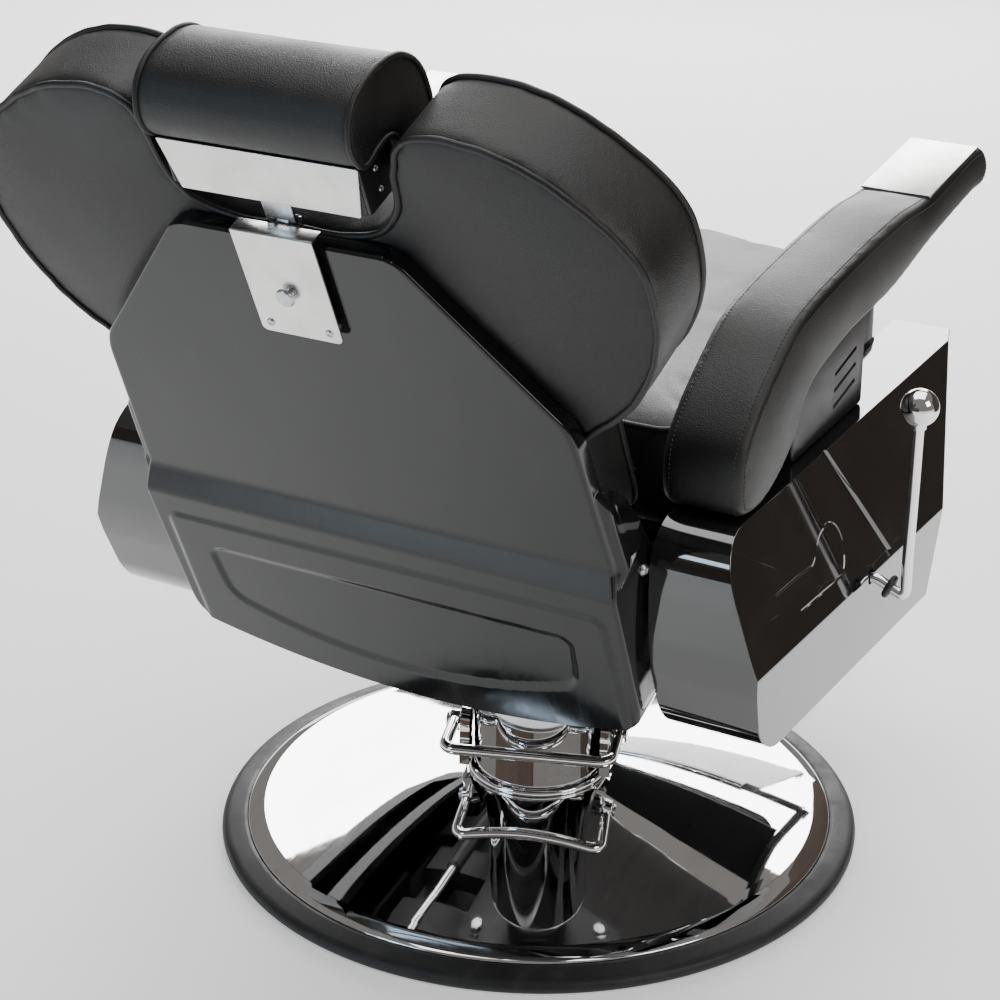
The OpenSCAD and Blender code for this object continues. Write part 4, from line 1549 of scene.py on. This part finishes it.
@dataclass
class Armrests:
    """Kneed armrests: pad with double-stitched edges, bright plate, vented cover."""

    middle: float = 301.5
    half_width: float = 43.0
    under: tuple[tuple[float, float], ...] = (
        (-327, 694), (-207, 672), (-109, 648), (0, 634), (60, 619.6), (80, 613), (98, 600), (122, 566),
        (148, 545), (181, 529.5), (215, 525))
    top: tuple[tuple[float, float], ...] = (
        (236, 531), (243, 556), (238, 590), (212, 622), (170, 655), (130, 680), (90, 692), (-20, 710),
        (-130, 721), (-199, 721), (-334, 741), (-354, 734), (-366, 712), (-357, 697))

    def build(self) -> None:
        """Makes one armrest and its mirror image."""
        pad = self._pad()
        rows = self._rows(pad)
        for side, name in ((1, "left"), (-1, "right")):
            self._place_pad(pad, rows, side, name)
            self._plate(side, name)
            self._cover(side, name)
            paint_node(f"arm_board_{name}", PLY)
            paint_node(f"arm_bracket_{name}", PAINT)
        bpy.data.objects.remove(pad)

    def _loop(self) -> list[Vector]:
        """The side view as a smooth closed line at x = 0."""
        return smooth_path([(0, y, z) for y, z in self.under + self.top], 4.0, True)

    def _pad(self) -> bpy.types.Object:
        """The stuffed pad of the sitter's left armrest."""
        w, x = self.half_width, self.middle
        loop = self._loop()
        seams = [p + Vector((x + s * (w - 3.0), 0, 0)) for p in loop for s in (-1, 1)]
        form = Shape()
        form.plate(Plane.ACROSS_X, [(p.y, p.z) for p in loop[::2]], x - w + 1.5, x + w - 1.5, 7.0, 4)
        pad = Padding("arm_pad", voxel=0.0042, pressure=3.0, cap=0.0055, rounding=5, hold=5.0, seams=seams,
                      limit=self._limit).stuff(form)
        return pad

    def _limit(self, place: Vector, start: Vector) -> Vector:
        """Keeps the underside on its board and the top flat under the bright plate."""
        board = lerp([(-327, 694), (-207, 672), (-109, 648), (0, 634), (60, 619.6)], start.y)
        off = abs(start.x - self.middle)
        if start.y < 66 and start.z < board + 12 and off < 33:
            place.z = max(place.z, board + 8.4)
        if -342 < start.y < -194 and off < 39:
            cap = 721 + (-199 - start.y) * 20 / 135 - 1.6
            if start.z > cap - 12:
                place.z = min(place.z, cap)
        return place

    def _rows(self, pad: bpy.types.Object) -> list[list[Vector]]:
        """Presses both edge seams in and returns the four lines of stitches beside them."""
        loop = self._open_run()
        rows = []
        for s in (-1, 1):
            seam = [Vector(((self.middle + s * (self.half_width - 4.5)), p.y, p.z)) * MM for p in loop]
            press(pad, seam, 0.0016, 0.0032)
            for inset, drop in ((10.5, -2.0), (-1.0, 7.0)):
                row = []
                for start, end in zip(loop, loop[1:]):
                    along = (end - start).normalized()
                    spot = start + drop * Vector((0, along.z, -along.y))
                    row.append(Vector((self.middle + s * (self.half_width - inset), spot.y, spot.z)) * MM)
                rows.append(row)
        return rows

    def _open_run(self) -> list[Vector]:
        """The top edge line from the front nose over the knee to the rear foot."""
        run = [(0, y, z) for y, z in reversed(self.top)] + [(0, 215, 525)]
        return smooth_path(run, 4.0)

    def _place_pad(self, pad: bpy.types.Object, rows: Sequence[Sequence[Vector]], side: int,
                   name: str) -> None:
        """Copies the pad to one side and sews it."""
        work = bmesh.new()
        work.from_mesh(pad.data)
        if side < 0:
            bmesh.ops.scale(work, vec=(-1, 1, 1), verts=work.verts)
            bmesh.ops.reverse_faces(work, faces=work.faces)
        mesh = bpy.data.meshes.new(f"arm_pad_vinyl_{name}")
        work.to_mesh(mesh)
        work.free()
        copy = bpy.data.objects.new(mesh.name, mesh)
        bpy.context.scene.collection.objects.link(copy)
        upholster(copy, Body.SEAT, 0.85, f"arm_pad_{name}")
        skin = skin_tree(copy)
        thread = Shape()
        for row in rows:
            thread.add(stitches(skin, [Vector((p.x * side, p.y, p.z)) for p in row]))
        piece(thread, f"arm_stitches_{name}", Body.SEAT, THREAD, sharp=180.0)

    def _plate(self, side: int, name: str) -> None:
        """Bright plate let into the top of the pad."""
        x = self.middle
        plate = Shape()
        corners = [(-200, 719.2), (-200, 721.6, 0.8), (-334.4, 741.6, 0.8), (-334.4, 739.2)]
        plate.plate(Plane.ACROSS_X, corners, x - 37.8, x + 37.8, 0.6)
        if side < 0:
            plate.mirrored(False)
        piece(plate, f"arm_plate_bright_{name}", Body.SEAT, STAINLESS, f"arm_plate_{name}")

    def _cover(self, side: int, name: str) -> None:
        """Moulded cover round the arm bracket, with three slanting vents."""
        cover = Shape()
        cover.plate(Plane.ACROSS_X, [(-74, 537.6, 6), (96, 530, 8), (96, 598, 12), (78, 612, 4), (60, 618.6),
                                     (0, 633), (-74, 642.6)], 286, 328, 3.0, 4)
        block = cover.to_object(f"arm_cover_black_{name}")
        cuts = [Shape().box((290, -70, 500), (324, 88, 604), 0),
                Shape().box((296, -64, 600), (307, 76, 660), 0)]
        for step in range(3):
            start = Vector((327.5, -52, 603 - 17 * step))
            cuts.append(Shape().tube([start + Vector((0, 52, -13)) * (i / 6) for i in range(7)], 2.4,
                                     sides=2))
        carve(block, cuts)
        if side < 0:
            SideShells._flip(block)
        settle(block, Body.SEAT, SATIN, (f"arm_cover_{name}",), 38.0)


@dataclass
class Lever:
    """Recline lever: axle, crank, upright and ball knob."""

    radius: float = 5.5
    axle: tuple[float, float] = (14.0, 392.0)

    def build(self) -> None:
        """Makes the bent rod, the knob and the rubber ring."""
        y, z = self.axle
        run = [(-236, y, z), (-372, y, z), (-384, y, z), (-390, y, z - 0.6), (-396, y - 0.2, z - 2.8),
               (-412, y - 0.8, z - 10.4), (-417.4, y - 1, z - 11.4), (-420.2, y - 1.2, z - 7.5),
               (-420.4, y - 1.4, z + 2), (-420, y - 2, z + 30), (-420, 9.6, 480), (-420, 8, 560)]
        rod = Shape().tube(smooth_path(run, 3.0), self.radius, sides=8)
        piece(rod, "lever_rod_chrome", Body.LEVER, CHROME, "recline_lever", sharp=60.0)
        ball = [(0, -18.7)] + [(18.7 * math.sin(a), -18.7 * math.cos(a)) for a in
                               (math.radians(6 * i) for i in range(1, 30))] + [(0, 18.7)]
        knob = Shape().lathe(ball, 64, Matrix.Translation((-420, 8, 577)))
        knob.lathe([(0, -22), (7.4, -22, 0.8), (7.4, -16), (0, -16)], 40, Matrix.Translation((-420, 8, 577)))
        piece(knob, "lever_knob_chrome", Body.LEVER, CHROME, "lever_knob", sharp=60.0)
        ring = Shape()
        along = Vector((30, 1, 13)).normalized().to_track_quat("Z", "Y").to_matrix()
        circle = [Vector((-404, y - 0.5, z - 6)) + along @ Vector((9.3 * math.cos(a), 9.3 * math.sin(a), 0))
                  for a in (math.radians(9 * i) for i in range(40))]
        ring.tube(circle, 3.4, True, 5)
        piece(ring, "lever_ring_rubber", Body.LEVER, RUBBER, "lever_ring", sharp=60.0)


# ---------------------------------------------------------------------------- underside, legrest


@dataclass
class Underside:
    """Steelwork under the seat, and the recline strut."""

    def build(self) -> None:
        """Paints the carried-over steelwork and the strut's parts."""
        for name in ("seat_socket", "seat_frame", "strut_cylinder", "legrest_frame"):
            paint_node(name, PAINT)
        for name in ("seat_bolts", "recline_pins", "legrest_pins"):
            paint_node(name, ZINC)
        paint_node("strut_rod", CHROME)
        paint_node("seat_board", PLY)


@dataclass
class Legrest:
    """Calf pad and folding footplate in front."""

    half_width: float = 195.0
    low: tuple[float, float] = (-389.3, 246.0)
    high: tuple[float, float] = (-429.0, 424.0)

    def build(self) -> None:
        """Makes the calf pad, its cord and the treaded footplate."""
        w, (rear, bottom), (front, top) = self.half_width, self.low, self.high
        form = Shape()
        form.plate(Plane.ACROSS_Y, [(-w + 5, bottom + 5, 22), (w - 5, bottom + 5, 22), (w - 5, top - 5, 22),
                                    (-w + 5, top - 5, 22)], front + 12, rear - 0.5)
        ring = [(-w + 14, bottom + 2), (w - 14, bottom + 2), (w - 5, bottom + 6), (w - 1, bottom + 16),
                (w - 1, top - 16), (w - 5, top - 6), (w - 14, top - 2), (-w + 14, top - 2), (-w + 5, top - 6),
                (-w + 1, top - 16), (-w + 1, bottom + 16), (-w + 5, bottom + 6)]
        seam = smooth_path([(x, front + 14, z) for x, z in ring], 4.0, True)
        rear_seam = [p + Vector((0, rear - front - 17, 0)) for p in seam]
        pad = Padding("legrest_pad_vinyl", voxel=0.006, cap=0.012, seams=seam + rear_seam,
                      limit=self._limit).stuff(form)
        upholster(pad, Body.LEGREST, 0.8, "legrest_pad")
        piping("legrest_piping", Body.LEGREST, pad, seam, 2.8, WORLD)
        self._footplate()

    def _limit(self, place: Vector, start: Vector) -> Vector:
        """Keeps the pad off its frame."""
        place.y = min(place.y, self.low[0] - 0.2)
        place.y = max(place.y, self.high[0] - 3.0)
        return place

    def _footplate(self) -> None:
        """Pressed plate with a turned-up edge, ribs and a hinge tube."""
        plate = Shape()
        plate.plate(Plane.ACROSS_X, [(-446, 203, 1), (-446, 208.6), (-590, 208.6, 3), (-592.4, 219, 1),
                                     (-600, 219, 2), (-600, 203, 5)], -140, 140, 0.8)
        for i in range(9):
            y = -470 - 13.5 * i
            plate.plate(Plane.ACROSS_X, [(y, 208), (y - 1.5, 209.8, 0.6), (y - 4.5, 209.8, 0.6),
                                         (y - 6, 208)],
                        -128, 128, 0.4, 2)
        spot = placed((-120, -445, 215), math.pi / 2, "Y")
        plate.lathe([(8.05, 0), (12, 0, 1), (12, 240, 1), (8.05, 240)], 48, spot)
        piece(plate, "footrest_plate_chrome", Body.FOOTREST, CHROME, "footrest_plate", sharp=40.0)


# ---------------------------------------------------------------------------- studio


@dataclass(frozen=True)
class Lamp:
    """A soft rectangular lamp: where it hangs, what it lights, its size, power and colour."""

    name: str
    spot: tuple[float, float, float]
    aim: tuple[float, float, float]
    size: tuple[float, float]
    power: float
    colour: tuple[float, float, float] = (1.0, 1.0, 1.0)

    def hang(self) -> None:
        """Adds the lamp to the scene."""
        data = bpy.data.lights.new(self.name, "AREA")
        data.shape = "RECTANGLE"
        data.size, data.size_y = self.size
        data.energy = self.power
        data.color = self.colour
        lamp = bpy.data.objects.new(self.name, data)
        lamp.location = self.spot
        lamp.rotation_euler = (Vector(self.aim) - Vector(self.spot)).to_track_quat("-Z", "Y").to_euler()
        bpy.context.scene.collection.objects.link(lamp)


@dataclass
class Studio:
    """Camera, pale floor and soft lights."""

    azimuth: float = 210.26
    elevation: float = 23.37
    distance: float = 2.6428
    target: tuple[float, float, float] = (0.0373, 0.0218, 0.3861)
    lens: float = 89.04
    lamps: tuple[Lamp, ...] = (
        Lamp("sky", (0.2, -0.6, 4.2), (0.0, 0.0, 0.3), (4.0, 4.0), 150.0),
        Lamp("front", (2.0, -4.2, 2.3), (0.2, 0.0, 0.4), (4.4, 2.6), 330.0),
        Lamp("window", (1.2, 2.9, 1.9), (-0.2, 0.3, 0.5), (1.0, 0.5), 14.0, (0.62, 0.82, 1.0)),
        Lamp("doorway", (1.45, 3.1, 0.3), (0.0, 0.3, 0.5), (0.8, 0.32), 9.0, (0.62, 0.82, 1.0)),
        Lamp("side", (-3.4, 0.6, 2.6), (0.0, 0.0, 0.5), (1.6, 1.6), 50.0, (1.0, 0.97, 0.94)),
    )
    # Dark cards that only reflections see: middle of the foot, width and height
    cards: tuple[tuple[Point, float, float], ...] = (
        ((-1.15, -1.5, 0.0), 2.8, 1.6), ((0.9, 3.4, 0.0), 5.0, 1.5),
    )

    def build(self) -> None:
        """Sets up everything that is not the chair."""
        self._camera()
        self._floor()
        for lamp in self.lamps:
            lamp.hang()
        for index, (foot, width, height) in enumerate(self.cards):
            self._card(f"studio_card_{index}", Vector(foot), width, height)
        world = bpy.data.worlds.new("studio")
        world.use_nodes = True
        sky = world.node_tree.nodes["Background"]
        sky.inputs["Color"].default_value = (0.42, 0.40, 0.38, 1.0)
        sky.inputs["Strength"].default_value = 0.5
        bpy.context.scene.world = world

    def _card(self, name: str, foot: Vector, width: float, height: float) -> None:
        """A dark standing card that faces the chair and is seen only in gloss."""
        graph = Graph(name)
        tone = graph.noise(1.6, 3.0)
        graph.set(Base_Color=graph.blend(tone, (0.012, 0.009, 0.007), (0.085, 0.055, 0.036)), Roughness=0.9)
        work = bmesh.new()
        bmesh.ops.create_grid(work, x_segments=2, y_segments=2, size=0.5)
        aim = Vector((-foot.x, -foot.y, 0.0)).to_track_quat("Z", "Y").to_matrix().to_4x4()
        stand = Matrix.Translation(foot + Vector((0, 0, height / 2))) @ aim
        bmesh.ops.transform(work, matrix=stand @ Matrix.Diagonal((width, height, 1, 1)), verts=work.verts)
        mesh = bpy.data.meshes.new(name)
        work.to_mesh(mesh)
        work.free()
        mesh.materials.append(graph.material)
        card = bpy.data.objects.new(name, mesh)
        card.visible_camera = card.visible_diffuse = card.visible_shadow = False
        bpy.context.scene.collection.objects.link(card)

    def _camera(self) -> None:
        """Looks at the chair from behind its left shoulder."""
        az, el = math.radians(self.azimuth), math.radians(self.elevation)
        back = Vector((math.sin(az) * math.cos(el), -math.cos(az) * math.cos(el), math.sin(el)))
        data = bpy.data.cameras.new("camera")
        data.lens = self.lens
        data.sensor_width = 36.0
        camera = bpy.data.objects.new("camera", data)
        camera.location = Vector(self.target) + back * self.distance
        camera.rotation_euler = (-back).to_track_quat("-Z", "Y").to_euler()
        bpy.context.scene.collection.objects.link(camera)
        bpy.context.scene.camera = camera

    def _floor(self) -> None:
        """One large pale sheet."""
        graph = Graph("studio_floor")
        speck = graph.noise(3.0, 3.0)
        graph.set(Base_Color=graph.blend(speck, (0.86, 0.86, 0.86), (0.9, 0.9, 0.9)), Roughness=0.7,
                  Emission_Color=(1.0, 1.0, 1.0, 1.0), Emission_Strength=0.42)
        work = bmesh.new()
        bmesh.ops.create_circle(work, cap_ends=True, segments=96, radius=14.0)
        mesh = bpy.data.meshes.new("studio_floor")
        work.to_mesh(mesh)
        work.free()
        mesh.materials.append(graph.material)
        sheet = bpy.data.objects.new("studio_floor", mesh)
        sheet.location.z = -0.0005
        bpy.context.scene.collection.objects.link(sheet)


def main() -> None:
    """Builds the chair around its frame."""
    logging.basicConfig(level=logging.INFO, format="%(message)s")
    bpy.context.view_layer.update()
    for part in (Studio(), Base(), BackShell(), BackCushion(), Headrest(), HeadrestMount(), SideShells(),
                 Armrests(), Lever(), SeatCushion(), Underside(), Legrest()):
        log.info("building %s", type(part).__name__)
        part.build()


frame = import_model()

if __name__ == "__main__":
    main()
